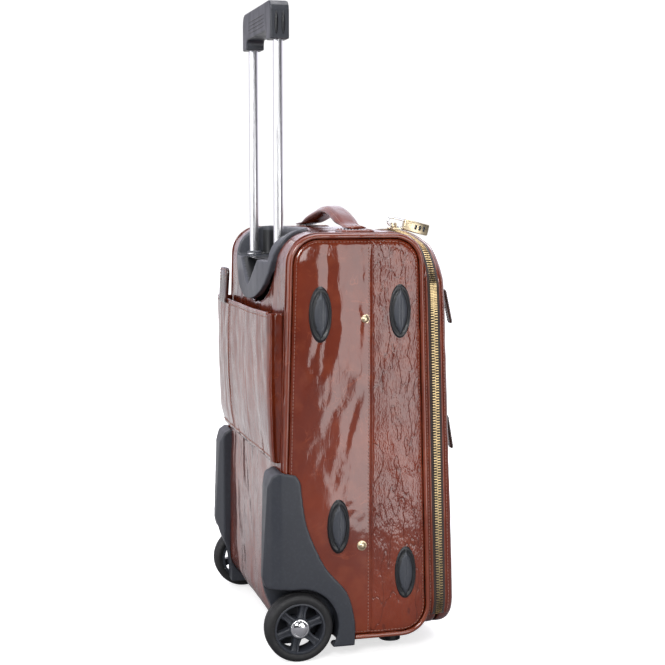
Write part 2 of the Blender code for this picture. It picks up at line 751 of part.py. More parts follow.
def back_pocket():
    """A slip pocket, open at its top and towards the case's back."""
    face = [(-0.0964, 0.4070), (-0.1140, 0.4070), (-0.1160, 0.3200), (-0.1145, 0.2600),
            (-0.1090, 0.2330), (-0.1014, 0.2320)]
    pocket = plate("back_pocket", face, "X", -0.1540, 0.1540, "leather")
    room = [(-0.0900, 0.4300), (-0.1115, 0.4300), (-0.1135, 0.3200), (-0.1120, 0.2600),
            (-0.1075, 0.2360), (-0.0900, 0.2360)]
    return cut(pocket, plate("pocket_room", room, "X", -0.1515, 0.1515))


carry_handle()
back_pocket()
strap_outline = rectangle((-0.1250, 0.4073), (-0.0820, 0.4470), 0.006, 3)
plate("pocket_strap", strap_outline, "Y", -0.1180, -0.1140, "dark_leather")
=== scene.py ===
"""Looks of a leather pilot rolling case: supple leather, zips, stitching and moulded plastic.

Metres. +X is the case's right side, +Y its zipped front, -Y its trolley side, +Z up.
"""

import math

import bmesh
import bpy
from mathutils import Matrix, Vector, noise


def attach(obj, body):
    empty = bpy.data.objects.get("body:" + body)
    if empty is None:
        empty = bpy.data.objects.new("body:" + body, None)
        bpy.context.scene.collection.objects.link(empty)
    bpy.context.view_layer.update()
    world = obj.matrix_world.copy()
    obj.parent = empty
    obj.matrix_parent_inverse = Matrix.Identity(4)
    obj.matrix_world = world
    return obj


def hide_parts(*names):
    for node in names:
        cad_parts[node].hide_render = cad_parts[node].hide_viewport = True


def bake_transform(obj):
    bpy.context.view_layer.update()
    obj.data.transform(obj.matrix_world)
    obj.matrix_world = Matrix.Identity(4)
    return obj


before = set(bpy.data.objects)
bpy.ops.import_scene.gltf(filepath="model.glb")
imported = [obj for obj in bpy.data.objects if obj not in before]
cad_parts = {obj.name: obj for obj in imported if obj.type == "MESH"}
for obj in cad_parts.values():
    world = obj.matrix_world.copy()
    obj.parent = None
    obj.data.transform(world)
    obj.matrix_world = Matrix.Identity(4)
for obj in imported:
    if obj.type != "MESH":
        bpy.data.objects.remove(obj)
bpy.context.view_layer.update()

# ---- places, as in the frame

SIDE_X = 0.1705
SHELL_X = 0.1654
TOP_Z = 0.4983
BASE_Z = 0.0196
BACK_Y = (-0.1070, -0.0935)
FRONT_Y = (0.0799, 0.0671)
CORNER_R = 0.036
SEAM = 0.006

LEAN = math.radians(1.66)
FRONT = Matrix.Translation((0, 0.0847, 0.263)) @ Matrix.Rotation(LEAN, 4, "X")
FRONT_X = 0.1685
FRONT_TOP = 0.2333
FRONT_BASE = -0.2414
FRONT_R = 0.045
OUT_OF_FRONT = FRONT.to_3x3() @ Vector((0, 1, 0))
UP_FRONT = FRONT.to_3x3() @ Vector((0, 0, 1))
ZIP_PITCH = 0.0032
LID_DEPTH = 0.0180
POCKET_FACE = LID_DEPTH + 0.0060

WHEEL_AT = Vector((0.16535, -0.0827, 0.040))
WHEEL_HALF = 0.01185
RIM_R = 0.0302

TUBE_X = 0.0713
TUBE_Y = -0.0831
GRIP_BASE = 0.7252
GRIP_TOP = 0.7710

LOCK = Matrix.Translation((0.022, 0.0900, 0.5048)) @ Matrix.Rotation(math.radians(-14), 4, "X")

SIDE_SEAM_Y = 0.0038
SIDES = (("left", -1), ("right", 1))


def smoothstep(low, high, value):
    t = min(max((value - low) / (high - low), 0.0), 1.0)
    return t * t * (3 - 2 * t)


def ripple(point, size, seed=0.0):
    """Smooth noise between -1 and 1, about size metres from hill to hill."""
    return noise.noise(Vector(point) / size + Vector((seed, seed * 1.7, seed * 0.3)))


# ---- outlines

def rounded(corners, radii, steps=8):
    """A polygon whose corners are replaced by arcs."""
    points = []
    count = len(corners)
    for i, (corner, radius) in enumerate(zip(corners, radii)):
        here = Vector(corner)
        back = (Vector(corners[i - 1]) - here).normalized()
        ahead = (Vector(corners[(i + 1) % count]) - here).normalized()
        half = back.angle(ahead) / 2
        centre = here + (back + ahead).normalized() * radius / math.sin(half)
        first = here + back * radius / math.tan(half) - centre
        last = here + ahead * radius / math.tan(half) - centre
        sweep = first.angle_signed(last)
        for k in range(steps + 1):
            points.append(centre + Matrix.Rotation(-sweep * k / steps, 2) @ first)
    return points


def rectangle(low, high, radius, steps=8):
    corners = [(low[0], low[1]), (high[0], low[1]), (high[0], high[1]), (low[0], high[1])]
    return rounded(corners, [radius] * 4, steps)


def side_outline(inset, steps=12):
    """The case's outline in Y and Z, moved in by inset."""
    low, high = BASE_Z + inset, TOP_Z - inset
    corners = [
        (BACK_Y[0] + inset, low), (FRONT_Y[0] - inset, low),
        (FRONT_Y[1] - inset, high), (BACK_Y[1] + inset, high),
    ]
    return rounded(corners, [CORNER_R - inset] * 4, steps)


def front_outline(inset, steps=14):
    """The lid's outline in X and Z, about the middle of the front opening."""
    half = FRONT_X - inset
    return rectangle((-half, FRONT_BASE + inset), (half, FRONT_TOP - inset), FRONT_R - inset, steps)


def even(points, pitch, closed=True):
    """Points at an even distance along a line."""
    points = [Vector(p) for p in points]
    if closed:
        points.append(points[0].copy())
    lengths = [0.0]
    for a, b in zip(points, points[1:]):
        lengths.append(lengths[-1] + (b - a).length)
    count = max(2, round(lengths[-1] / pitch))
    spaced, k = [], 0
    for i in range(count if closed else count + 1):
        want = lengths[-1] * i / count
        while k < len(points) - 2 and lengths[k + 1] < want:
            k += 1
        span = lengths[k + 1] - lengths[k]
        spaced.append(points[k].lerp(points[k + 1], (want - lengths[k]) / span if span else 0))
    return spaced


def drooped(co):
    """The front of the case slopes down towards its two upper corners."""
    droop = -0.95 * co.x * co.x
    share = smoothstep(0.400, 0.492, co.z) * smoothstep(0.058, 0.080, co.y)
    return co + Vector((0, 0, droop * share))


# ---- materials

def new_material(name, colour, roughness, metallic=0.0, **sockets):
    material = bpy.data.materials.new(name)
    material.use_nodes = True
    tree = material.node_tree
    shader = tree.nodes["Principled BSDF"]
    shader.inputs["Base Color"].default_value = (*colour, 1)
    shader.inputs["Roughness"].default_value = roughness
    shader.inputs["Metallic"].default_value = metallic
    for socket, value in sockets.items():
        shader.inputs[socket.replace("_", " ")].default_value = value
    return material, Nodes(tree), shader


class Nodes:
    """Short names for the nodes that the materials share."""

    def __init__(self, tree):
        self.tree = tree
        self.place = self.add("ShaderNodeTexCoord").outputs["Object"]

    def add(self, kind, **values):
        node = self.tree.nodes.new(kind)
        for key, value in values.items():
            setattr(node, key, value)
        return node

    def link(self, source, target):
        self.tree.links.new(source, target)

    def stretched(self, scale):
        node = self.add("ShaderNodeMapping")
        node.inputs["Scale"].default_value = scale
        self.link(self.place, node.inputs["Vector"])
        return node.outputs["Vector"]

    def noise(self, scale, detail=3.0, vector=None, rough=0.5, distortion=0.0, output="Fac"):
        node = self.add("ShaderNodeTexNoise")
        sockets = {"Scale": scale, "Detail": detail, "Roughness": rough, "Distortion": distortion}
        for key, value in sockets.items():
            node.inputs[key].default_value = value
        self.link(vector or self.place, node.inputs["Vector"])
        return node.outputs[output]

    def warped(self, scale, amount):
        """The place, pushed about by noise."""
        scaled = self.add("ShaderNodeVectorMath", operation="SCALE")
        self.link(self.noise(scale, 2.0, output="Color"), scaled.inputs[0])
        scaled.inputs["Scale"].default_value = amount
        total = self.add("ShaderNodeVectorMath", operation="ADD")
        self.link(self.place, total.inputs[0])
        self.link(scaled.outputs[0], total.inputs[1])
        return total.outputs[0]

    def cells(self, scale, vector, feature="DISTANCE_TO_EDGE"):
        node = self.add("ShaderNodeTexVoronoi", feature=feature)
        node.inputs["Scale"].default_value = scale
        self.link(vector, node.inputs["Vector"])
        return node.outputs["Distance"]

    def spread(self, value, low, high, to_low=0.0, to_high=1.0):
        node = self.add("ShaderNodeMapRange")
        for key, number in (("From Min", low), ("From Max", high), ("To Min", to_low), ("To Max", to_high)):
            node.inputs[key].default_value = number
        self.link(value, node.inputs["Value"])
        return node.outputs["Result"]

    def sums(self, operation, a, b):
        node = self.add("ShaderNodeMath", operation=operation)
        for k, value in enumerate((a, b)):
            if isinstance(value, (int, float)):
                node.inputs[k].default_value = value
            else:
                self.link(value, node.inputs[k])
        return node.outputs[0]

    def valleys(self, value):
        """0 along the lines where a noise passes its middle, and rising on both sides of them."""
        return self.sums("ABSOLUTE", self.sums("SUBTRACT", value, 0.5), 0.0)

    def blend(self, share, a, b):
        node = self.add("ShaderNodeMix", data_type="RGBA")
        self.link(share, node.inputs["Factor"])
        for key, value in (("A", a), ("B", b)):
            socket = [s for s in node.inputs if s.name == key and s.type == "RGBA"][0]
            if isinstance(value, tuple):
                socket.default_value = (*value, 1)
            else:
                self.link(value, socket)
        return [s for s in node.outputs if s.type == "RGBA"][0]

    def bump(self, height, distance, strength=1.0, normal=None):
        node = self.add("ShaderNodeBump")
        node.inputs["Distance"].default_value = distance
        if isinstance(strength, (int, float)):
            node.inputs["Strength"].default_value = strength
        else:
            self.link(strength, node.inputs["Strength"])
        self.link(height, node.inputs["Height"])
        if normal is not None:
            self.link(normal, node.inputs["Normal"])
        return node.outputs["Normal"]

    def part(self, axis):
        node = self.add("ShaderNodeSeparateXYZ")
        self.link(self.place, node.inputs[0])
        return node.outputs[axis]

    def constant(self, number):
        node = self.add("ShaderNodeValue")
        node.outputs[0].default_value = number
        return node.outputs[0]


def shade(colour, share, lift=0.0):
    """A colour made darker or paler."""
    return tuple(min(1.0, c * share + lift) for c in colour)


def leather(name, dark, mid, light, crush=1.0, split=None):
    """Glazed leather: slow swells, pebble and slanting creases, pores and pale veins under a clear glaze.

    Where split is given, the hide is smooth behind that place in Y and crushed in front of it.
    """
    material, n, shader = new_material(
        name, mid, 0.36, Coat_Weight=1.0, Coat_Roughness=0.06, Coat_IOR=1.6, Specular_IOR_Level=0.10,
    )
    slanted = n.add("ShaderNodeMapping")
    slanted.inputs["Rotation"].default_value = (math.radians(38), math.radians(12), math.radians(20))
    slanted.inputs["Scale"].default_value = (1.0, 1.0, 0.32)
    n.link(n.warped(30.0, 0.010), slanted.inputs["Vector"])
    slant = slanted.outputs["Vector"]
    pebble = n.spread(n.cells(440.0, slant), 0.0, 0.35)
    creases = n.spread(n.valleys(n.noise(55.0, 2.0, slant, 0.45, 0.2)), 0.0, 0.022)
    veins = n.spread(n.valleys(n.noise(19.0, 5.0, None, 0.55, 1.0)), 0.0, 0.009, 1.0, 0.0)
    crumple = n.noise(260.0, 3.0, slant, 0.55, 0.3)
    swells = n.noise(10.0, 2.0, slant, 0.4, 1.6)
    pores = n.noise(1500.0, 2.0)
    if split is None:
        share = n.constant(crush)
    else:
        share = n.spread(n.part("Y"), split, split + 0.002, 0.08 * crush, crush)
    colour = n.blend(n.spread(n.noise(10.0, 4.0, None, 0.55), 0.32, 0.66), dark, mid)
    colour = n.blend(n.spread(n.noise(48.0, 4.0), 0.50, 0.80, 0.0, 0.55), colour, light)
    faint = n.spread(n.noise(30.0, 2.0), 0.42, 0.62, 0.0, 0.35)
    colour = n.blend(n.sums("MULTIPLY", veins, faint), colour, shade(light, 1.5))
    # Painted shade: the creases are darkened towards a deep brown, standing in for the shade inside the
    # folds.
    painted_crease_shade = n.sums("MULTIPLY", n.spread(creases, 0.0, 1.0, 0.45, 0.0), share)
    colour = n.blend(painted_crease_shade, colour, shade(dark, 0.35))
    n.link(colour, shader.inputs["Base Color"])
    n.link(n.spread(n.noise(70.0, 3.0), 0.3, 0.7, 0.30, 0.46), shader.inputs["Roughness"])
    normal = n.bump(swells, 0.0100, 0.50)
    normal = n.bump(crumple, 0.0010, n.sums("MULTIPLY", share, 0.45), normal)
    normal = n.bump(creases, 0.00040, n.sums("MULTIPLY", share, 0.55), normal)
    normal = n.bump(pebble, 0.00022, n.sums("MULTIPLY", share, 0.45), normal)
    normal = n.bump(pores, 0.00005, 0.25, normal)
    n.link(normal, shader.inputs["Normal"])
    n.link(normal, shader.inputs["Coat Normal"])
    return material


def plastic(name, colour, roughness, grain=900.0, depth=0.00008):
    """Moulded plastic with a fine spark-eroded grain and faint scuffs."""
    material, n, shader = new_material(name, colour, roughness)
    scuffs = n.noise(60.0, 5.0, n.stretched((1.0, 1.0, 0.4)), 0.65)
    n.link(n.spread(scuffs, 0.35, 0.7, roughness - 0.06, roughness + 0.10), shader.inputs["Roughness"])
    pale = shade(colour, 1.5, 0.004)
    worn = n.spread(n.noise(300.0, 3.0), 0.5, 0.8, 0.0, 0.5)
    n.link(n.blend(worn, colour, pale), shader.inputs["Base Color"])
    normal = n.bump(n.noise(grain, 2.0), depth, 0.5)
    n.link(n.bump(n.cells(grain * 0.7, n.place, "F1"), depth, 0.3, normal), shader.inputs["Normal"])
    return material


def metal(name, colour, roughness, along=(1.0, 1.0, 0.03), tarnish=0.25):
    """Metal with fine draw lines and a slight change of tone."""
    material, n, shader = new_material(name, colour, roughness, 1.0)
    lines = n.noise(1600.0, 2.0, n.stretched(along))
    n.link(n.spread(lines, 0.3, 0.7, roughness - 0.05, roughness + 0.08), shader.inputs["Roughness"])
    worn = n.spread(n.noise(160.0, 4.0), 0.4, 0.75)
    n.link(n.blend(worn, colour, shade(colour, 1 - tarnish)), shader.inputs["Base Color"])
    n.link(n.bump(lines, 0.00003, 0.4), shader.inputs["Normal"])
    return material


def rubber(name, colour):
    material, n, shader = new_material(name, colour, 0.62)
    dust = n.spread(n.noise(120.0, 4.0), 0.5, 0.8, 0.0, 0.6)
    n.link(n.blend(dust, colour, shade(colour, 2.2)), shader.inputs["Base Color"])
    n.link(n.spread(n.noise(200.0, 3.0), 0.3, 0.7, 0.52, 0.74), shader.inputs["Roughness"])
    n.link(n.bump(n.noise(1100.0, 2.0), 0.00010, 0.5), shader.inputs["Normal"])
    return material


def cloth(name, colour, pitch=0.0011):
    """Plain weave: two sets of threads over and under each other."""
    material, n, shader = new_material(name, colour, 0.8, Sheen_Weight=0.25, Sheen_Roughness=0.5)
    across, deep, upright = (
        n.sums("SINE", n.sums("MULTIPLY", n.part(axis), 2 * math.pi / pitch), 0.0) for axis in "XYZ"
    )
    weave = n.sums("MULTIPLY", n.sums("ADD", across, deep), upright)
    n.link(n.blend(n.spread(weave, -1.5, 1.5), shade(colour, 0.6), colour), shader.inputs["Base Color"])
    normal = n.bump(weave, 0.00010, 0.5)
    n.link(n.bump(n.noise(35.0, 3.0), 0.0015, 0.35, normal), shader.inputs["Normal"])
    return material


def thread(name, colour):
    material, n, shader = new_material(name, colour, 0.55, Sheen_Weight=0.3)
    twist = n.noise(2600.0, 2.0, n.stretched((1.0, 1.0, 0.5)))
    n.link(n.blend(twist, shade(colour, 0.6), colour), shader.inputs["Base Color"])
    n.link(n.bump(twist, 0.00008, 0.6), shader.inputs["Normal"])
    return material


HIDE = (0.100, 0.0120, 0.0030), (0.170, 0.0235, 0.0055), (0.225, 0.046, 0.015)
TRIM_HIDE = (0.13, 0.022, 0.009), (0.19, 0.038, 0.016), (0.26, 0.068, 0.031)
# The dark hide is the real dark leather of the pull tabs and pocket strap, and painted shade on the carry
# handle's underside.
DARK_HIDE_AND_SHADE = (0.022, 0.006, 0.004), (0.045, 0.010, 0.006), (0.09, 0.020, 0.011)
SIDE_LEATHER = leather("side_leather", *HIDE, 1.0, SIDE_SEAM_Y)
BODY_LEATHER = leather("body_leather", *HIDE, 0.22)
LID_LEATHER = leather("lid_leather", *HIDE, 0.40)
TRIM_LEATHER = leather("trim_leather", *TRIM_HIDE, 0.10)
DARK_LEATHER_AND_SHADE = leather("dark_leather", *DARK_HIDE_AND_SHADE, 0.4)
BLACK_PLASTIC = plastic("black_plastic", (0.027, 0.030, 0.038), 0.40)
# Near-black plastic of the feet and grip ribs. On the trolley surround it is painted shade inside the V and
# the cup.
FOOT_PLASTIC_AND_RECESS_SHADE = plastic("foot_plastic_and_recess_shade", (0.009, 0.010, 0.012), 0.38, 600.0, 0.00012)
GREY_PLASTIC = plastic("grey_plastic", (0.038, 0.042, 0.052), 0.40)
SURROUND_PLASTIC = plastic("surround_plastic", (0.060, 0.064, 0.077), 0.40)
TYRE_RUBBER = rubber("tyre_rubber", (0.010, 0.010, 0.011))
TUBE_METAL = metal("tube_metal", (0.80, 0.80, 0.82), 0.30, tarnish=0.06)
BRIGHT_STEEL = metal("bright_steel", (0.82, 0.82, 0.84), 0.12, (1.0, 1.0, 1.0), 0.08)
BRASS = metal("brass", (0.74, 0.62, 0.42), 0.34, (1.0, 1.0, 1.0), 0.30)
ZIP_BRASS = metal("zip_brass", (0.62, 0.47, 0.25), 0.30, (1.0, 1.0, 1.0), 0.45)
TAPE = cloth("zip_tape", (0.030, 0.016, 0.012), 0.0008)
LINING = cloth("lining_cloth", (0.085, 0.060, 0.045))
THREAD = thread("stitch_thread", (0.30, 0.115, 0.075))

SLOTS = {
    "leather": (SIDE_LEATHER, BODY_LEATHER, LID_LEATHER, TRIM_LEATHER),
    "dark_leather": (DARK_LEATHER_AND_SHADE, TAPE, THREAD),
    "black_plastic": (BLACK_PLASTIC, FOOT_PLASTIC_AND_RECESS_SHADE),
    "grey_plastic": (GREY_PLASTIC, SURROUND_PLASTIC),
    "tyre_rubber": (TYRE_RUBBER,),
    "bright_steel": (BRIGHT_STEEL,),
    "brass": (BRASS, ZIP_BRASS),
}
SLOT_OF = {material.name: slot for slot, materials in SLOTS.items() for material in materials}

# ---- builders


def add_piece(name, mesh, material, body=None, replaces=(), slot=None):
    """Adds a piece that rides a body. Its slot is worked out from its material where none is given, but is
    not used.
    """
    obj = bpy.data.objects.new(name, mesh)
    mesh.name = name
    bpy.context.scene.collection.objects.link(obj)
    mesh.materials.clear()
    mesh.materials.append(material)
    mesh.polygons.foreach_set("use_smooth", [True] * len(mesh.polygons))
    slot = slot or SLOT_OF.get(material.name)
    if body:
        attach(obj, body)
    if replaces:
        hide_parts(*replaces)
    return obj


def with_modifiers(mesh, *modifiers):
    """The mesh that a stack of (kind, settings) makes of this one."""
    helper = bpy.data.objects.new("helper", mesh)
    bpy.context.scene.collection.objects.link(helper)
    for kind, settings in modifiers:
        modifier = helper.modifiers.new(kind, kind)
        for key, value in settings.items():
            setattr(modifier, key, value)
    bpy.context.view_layer.update()
    graph = bpy.context.evaluated_depsgraph_get()
    result = bpy.data.meshes.new_from_object(helper.evaluated_get(graph))
    bpy.data.objects.remove(helper, do_unlink=True)
    return result


def softened_mesh(node, voxel, rounds):
    """A CAD node's shape as an even, rounded-off quad mesh."""
    return with_modifiers(
        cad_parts[node].data.copy(),
        ("REMESH", {"mode": "VOXEL", "voxel_size": voxel}),
        ("SMOOTH", {"factor": 0.5, "iterations": rounds}),
    )


def moved(mesh, rule):
    """Moves each point of mesh to rule(point, normal)."""
    normals = [v.normal.copy() for v in mesh.vertices]
    for vertex, normal in zip(mesh.vertices, normals):
        vertex.co = rule(vertex.co.copy(), normal)
    mesh.update()
    return mesh


def outwards(work, name="work"):
    """The mesh of a bmesh, which it frees, with all faces turned outwards."""
    mesh = bpy.data.meshes.new(name)
    bmesh.ops.recalc_face_normals(work, faces=work.faces)
    work.to_mesh(mesh)
    work.free()
    return mesh


def welded(mesh, distance):
    """The same mesh without doubled points."""
    work = bmesh.new()
    work.from_mesh(mesh)
    bmesh.ops.remove_doubles(work, verts=work.verts, dist=distance)
    bmesh.ops.dissolve_degenerate(work, edges=work.edges, dist=1e-7)
    return outwards(work)


def joined(work, a, b, closed=True):
    """Quads between two rows of points. A closed row joins its last point to its first."""
    count = len(a)
    for i in range(count if closed else count - 1):
        j = (i + 1) % count
        work.faces.new((a[i], a[j], b[j], b[i]))


def loft(rings, closed=True, capped=False):
    """A skin over rings of points, with a face over each end where it is capped."""
    work = bmesh.new()
    rows = [[work.verts.new(p) for p in ring] for ring in rings]
    for a, b in zip(rows, rows[1:]):
        joined(work, a, b, closed)
    if capped:
        work.faces.new(rows[0][::-1])
        work.faces.new(rows[-1])
    return outwards(work)


def frames_along(path, closed, up):
    """(point, tangent, side, up) at each point of a path."""
    count = len(path)
    for i, point in enumerate(path):
        before = path[i - 1] if closed or i else point
        after = path[(i + 1) % count] if closed or i < count - 1 else point
        tangent = (after - before).normalized()
        lift = up(point) if callable(up) else up
        side = tangent.cross(lift).normalized()
        yield point, tangent, side, side.cross(tangent).normalized()


def swept(path, section, closed=False, up=Vector((0, 0, 1)), taper=None):
    """A section of (side, up) points swept along path. taper(share) scales it."""
    rings = []
    for i, (point, _, side, lift) in enumerate(frames_along(path, closed, up)):
        size = taper(i / (len(path) - 1)) if taper else 1.0
        rings.append([point + side * (u * size) + lift * (v * size) for u, v in section])
    return welded(loft([*rings, rings[0]]), 1e-7) if closed else loft(rings, True, True)


def circle(radius, sides=12, flat=1.0):
    turn = [2 * math.pi * k / sides for k in range(sides)]
    return [(radius * math.cos(a), radius * flat * math.sin(a)) for a in turn]


def turned(profile, centre, axis="X", steps=48):
    """A profile of (radius, height) points turned about an axis."""
    rings = []
    for k in range(steps):
        a = 2 * math.pi * k / steps
        ring = []
        for r, h in profile:
            u, v = r * math.cos(a), r * math.sin(a)
            place = {"X": (h, u, v), "Y": (u, h, -v), "Z": (u, v, h)}[axis]
            ring.append(Vector(centre) + Vector(place))
        rings.append(ring)
    mesh = welded(loft([*rings, rings[0]], False), 1e-6)
    mesh.polygons.foreach_set("use_smooth", [True] * len(mesh.polygons))
    mesh.set_sharp_from_angle(angle=math.radians(50))
    return mesh


def merged(meshes):
    """Several meshes as one."""
    work = bmesh.new()
    for mesh in meshes:
        work.from_mesh(mesh)
    whole = bpy.data.meshes.new("merged")
    work.to_mesh(whole)
    work.free()
    return whole


# Along the stitch, height and thickness, as shares of its length and radius.
STITCH = ((-0.5, -1.0, 0.55), (-0.36, 0.25, 0.95), (0.0, 0.75, 1.0), (0.36, 0.25, 0.95), (0.5, -1.0, 0.55))


def stitch_row(path, lift, pitch=0.0042, length=0.0030, radius=0.00042, closed=False):
    """Short raised stitches along path, each sunk at its ends."""
    path = even(path, pitch, closed)
    work = bmesh.new()
    for point, tangent, side, up in frames_along(path, closed, lift):
        rings = []
        for along, high, size in STITCH:
            centre = point + tangent * (along * length) + up * (high * radius)
            rings.append([
                work.verts.new(centre + side * (u * size) + up * (v * size)) for u, v in circle(radius, 6)
            ])
        for a, b in zip(rings, rings[1:]):
            joined(work, a, b)
        work.faces.new(rings[0][::-1])
        work.faces.new(rings[-1])
    return outwards(work)


def scaled(outline, middle, share):
    """An outline drawn in towards its middle."""
    return [middle + (p - middle) * share for p in outline]


# ---- side panels

def edge_distance(y, z, inset):
    """How far a point of the side lies inside the outline moved in by inset."""
    share = (z - BASE_Z) / (TOP_Z - BASE_Z)
    back = y - (BACK_Y[0] + (BACK_Y[1] - BACK_Y[0]) * share) - inset
    front = (FRONT_Y[0] + (FRONT_Y[1] - FRONT_Y[0]) * share) - inset - y
    low, high = z - BASE_Z - inset, TOP_Z - inset - z
    across, upright = min(back, front), min(low, high)
    radius = CORNER_R - inset
    if across < radius and upright < radius:
        return radius - math.hypot(radius - across, radius - upright)
    return min(across, upright)


def side_rise(y, z, side):
    """How far the leather of a side panel stands out from the panel's flat face."""
    inside = edge_distance(y, z, SEAM)
    front = smoothstep(SIDE_SEAM_Y - 0.0004, SIDE_SEAM_Y + 0.0016, y)
    dip = math.exp(-((abs(y - SIDE_SEAM_Y) - 0.001) / 0.004) ** 2)
    rise = 0.0026 * (1 - math.exp(-max(inside, 0) / 0.010)) - 0.0012
    rise += 0.0006 * front - 0.0006 * dip * (1 - front)
    waves = 0.0013 * ripple((y, z * 0.62, side), 0.075, 1.0)
    waves += 0.0003 * ripple((y + z * 0.4, z * 0.5, side), 0.028, 3.0)
    crumple = 0.00035 * ripple((y + 0.6 * z, (z - 0.5 * y) * 0.5, side * 0.7), 0.013, 5.0)
    crumple += 0.00016 * ripple((y, z, side * 0.7), 0.006, 7.0)
    return rise + waves + crumple * front * (0.4 + 0.6 * smoothstep(0.0, 0.02, inside))


def side_panel(label, side):
    """The leather of a side, and the fold where its two hides meet. It returns the seam's stitches."""

    def rule(co, normal):
        if side * co.x > SIDE_X - 0.003:
            co.x += side * side_rise(co.y, co.z, side)
        return co

    mesh = moved(softened_mesh("side_panel_" + label, 0.0022, 4), rule)
    add_piece("side_leather_" + label, mesh, SIDE_LEATHER, "case", ["side_panel_" + label])
    outward = Vector((side, 0, 0))

    def upright(y, pitch):
        """A line up the side, just over its leather."""
        heights = [0.030 + pitch * k for k in range(math.ceil(0.458 / pitch))]
        return [Vector((side * (SIDE_X + side_rise(y, z, side) + 0.0001), y, z)) for z in heights]

    fold = swept(upright(SIDE_SEAM_Y + 0.0010, 0.004), circle(0.0007, 8), False, outward)
    add_piece("side_seam_" + label, fold, SIDE_LEATHER, "case")
    return stitch_row(upright(SIDE_SEAM_Y - 0.0030, 0.003), outward)


def piping_path(side, inset, x):
    """Round the side panel, from the wheel housing's front round to its back."""
    loop = side_outline(inset, 14)
    start = next(i for i, p in enumerate(loop) if p.x > 0)
    loop = loop[start:] + loop[:start]
    points = [Vector((x, -0.0150, loop[0].y))]
    points += [Vector((x, p.x, p.y)) for p in loop if p.y > 0.1 or p.x > 0]
    end_z = 0.11
    share = (end_z - BASE_Z) / (TOP_Z - BASE_Z)
    points.append(Vector((x, BACK_Y[0] + (BACK_Y[1] - BACK_Y[0]) * share + inset, end_z)))
    return even(points, 0.003, False)


for label, side in SIDES:
    seam = side_panel(label, side)
    outward = Vector((side, 0, 0))
    bead = swept(piping_path(side, SEAM / 2, side * (SHELL_X + 0.0031)), circle(0.0028, 14), False, outward)
    add_piece("piping_" + label, bead, TRIM_LEATHER, "case", ["side_piping_" + label])
    welt = piping_path(side, -0.0002, side * (SHELL_X - 0.0042))
    add_piece("welt_" + label, swept(welt, circle(0.0009, 8), False, outward), BODY_LEATHER, "case")
    hem = [Vector((side * (SIDE_X + side_rise(p.y, p.z, side) + 0.0001), p.y, p.z))
           for p in piping_path(side, SEAM + 0.0036, 0)]
    add_piece("side_stitches_" + label, merged([seam, stitch_row(hem, outward)]), THREAD, "case")


# ---- side feet and studs

FEET = {
    "top_back": (-0.0571, 0.4058), "top_front": (0.0380, 0.4080),
    "low_back": (-0.0355, 0.1577), "low_front": (0.0461, 0.0978),
}
FOOT_HALF_Y, FOOT_HALF_Z = 0.0135, 0.0325
STUDS = {"top": (-0.0043, 0.4000), "low": (-0.0073, 0.1333)}
STUD_DOME = [(0.0, 0.0034), (0.0014, 0.0033), (0.0028, 0.0028), (0.0038, 0.0020), (0.0043, 0.0012),
             (0.0046, 0.0010), (0.0056, 0.0009), (0.0059, 0.0004), (0.0059, -0.0014), (0.0, -0.0014)]


def almond(v, wide, tall):
    """Half width of a side foot's almond-shaped ridge, at v along the foot."""
    return wide * (1 - min(abs(v) / tall, 1.0) ** 2)


def foot_height(u, v):
    """Height of a side foot over its oval: a rolled rim, a groove, and an almond-shaped ridge."""
    reach = math.hypot(u, v)
    rim = 0.0030 * (1 - smoothstep(0.90, 1.0, reach)) + 0.0006
    rim -= 0.0012 * math.exp(-((reach - 0.74) / 0.07) ** 2)
    half = almond(v, 0.62, 0.82)
    ridge = max(0.0, 1 - (abs(u) / half) ** 1.6) if half > 1e-4 else 0.0
    ribs = 0.00022 * math.cos(u * 34) * ridge
    return rim + 0.0030 * ridge ** 0.6 + ribs


def side_foot(place, label, side):
    y, z = FEET[place]
    rings, spokes = [], 72
    radii = [1.0, 1.0, 0.985, 0.96, 0.93, 0.89, 0.85, 0.81, 0.77, 0.73, 0.69, 0.64, 0.58, 0.52,
             0.45, 0.38, 0.31, 0.24, 0.17, 0.10, 0.04]
    for k, r in enumerate(radii):
        ring = []
        for i in range(spokes):
            a = 2 * math.pi * i / spokes
            u, v = r * math.cos(a), r * math.sin(a)
            high = -0.0010 if k == 0 else foot_height(u, v)
            ring.append((side * (SIDE_X + 0.0003 + high), y + FOOT_HALF_Y * u, z + FOOT_HALF_Z * v))
        rings.append(ring)
    name = f"side_foot_{place}_{label}"
    foot = add_piece("moulded_" + name, loft(rings, True, True), FOOT_PLASTIC_AND_RECESS_SHADE, "case", [name])
    foot.data.materials.append(GREY_PLASTIC)
    for face in foot.data.polygons:
        u, v = (face.center.y - y) / FOOT_HALF_Y, (face.center.z - z) / FOOT_HALF_Z
        face.material_index = int(abs(u) < almond(v, 0.60, 0.80))


for label, side in SIDES:
    for place in FEET:
        side_foot(place, label, side)
    for place, (y, z) in STUDS.items():
        stud = turned([(r, side * h) for r, h in STUD_DOME], (side * (SIDE_X + 0.0008), y, z), "X", 28)
        add_piece(f"rivet_{place}_{label}", stud, BRASS, "case", [f"side_stud_{place}_{label}"])


# ---- case body and lid

def top_span(y):
    """1 along the middle of the top, 0 towards its back and front edges."""
    return smoothstep(-0.09, -0.02, y) * (1 - smoothstep(0.045, 0.075, y))


def top_crown(x, y):
    """How far the leather of the top stands over its flat level."""
    return 0.0032 * max(0.0, 1 - (x / 0.10) ** 2) * top_span(y)


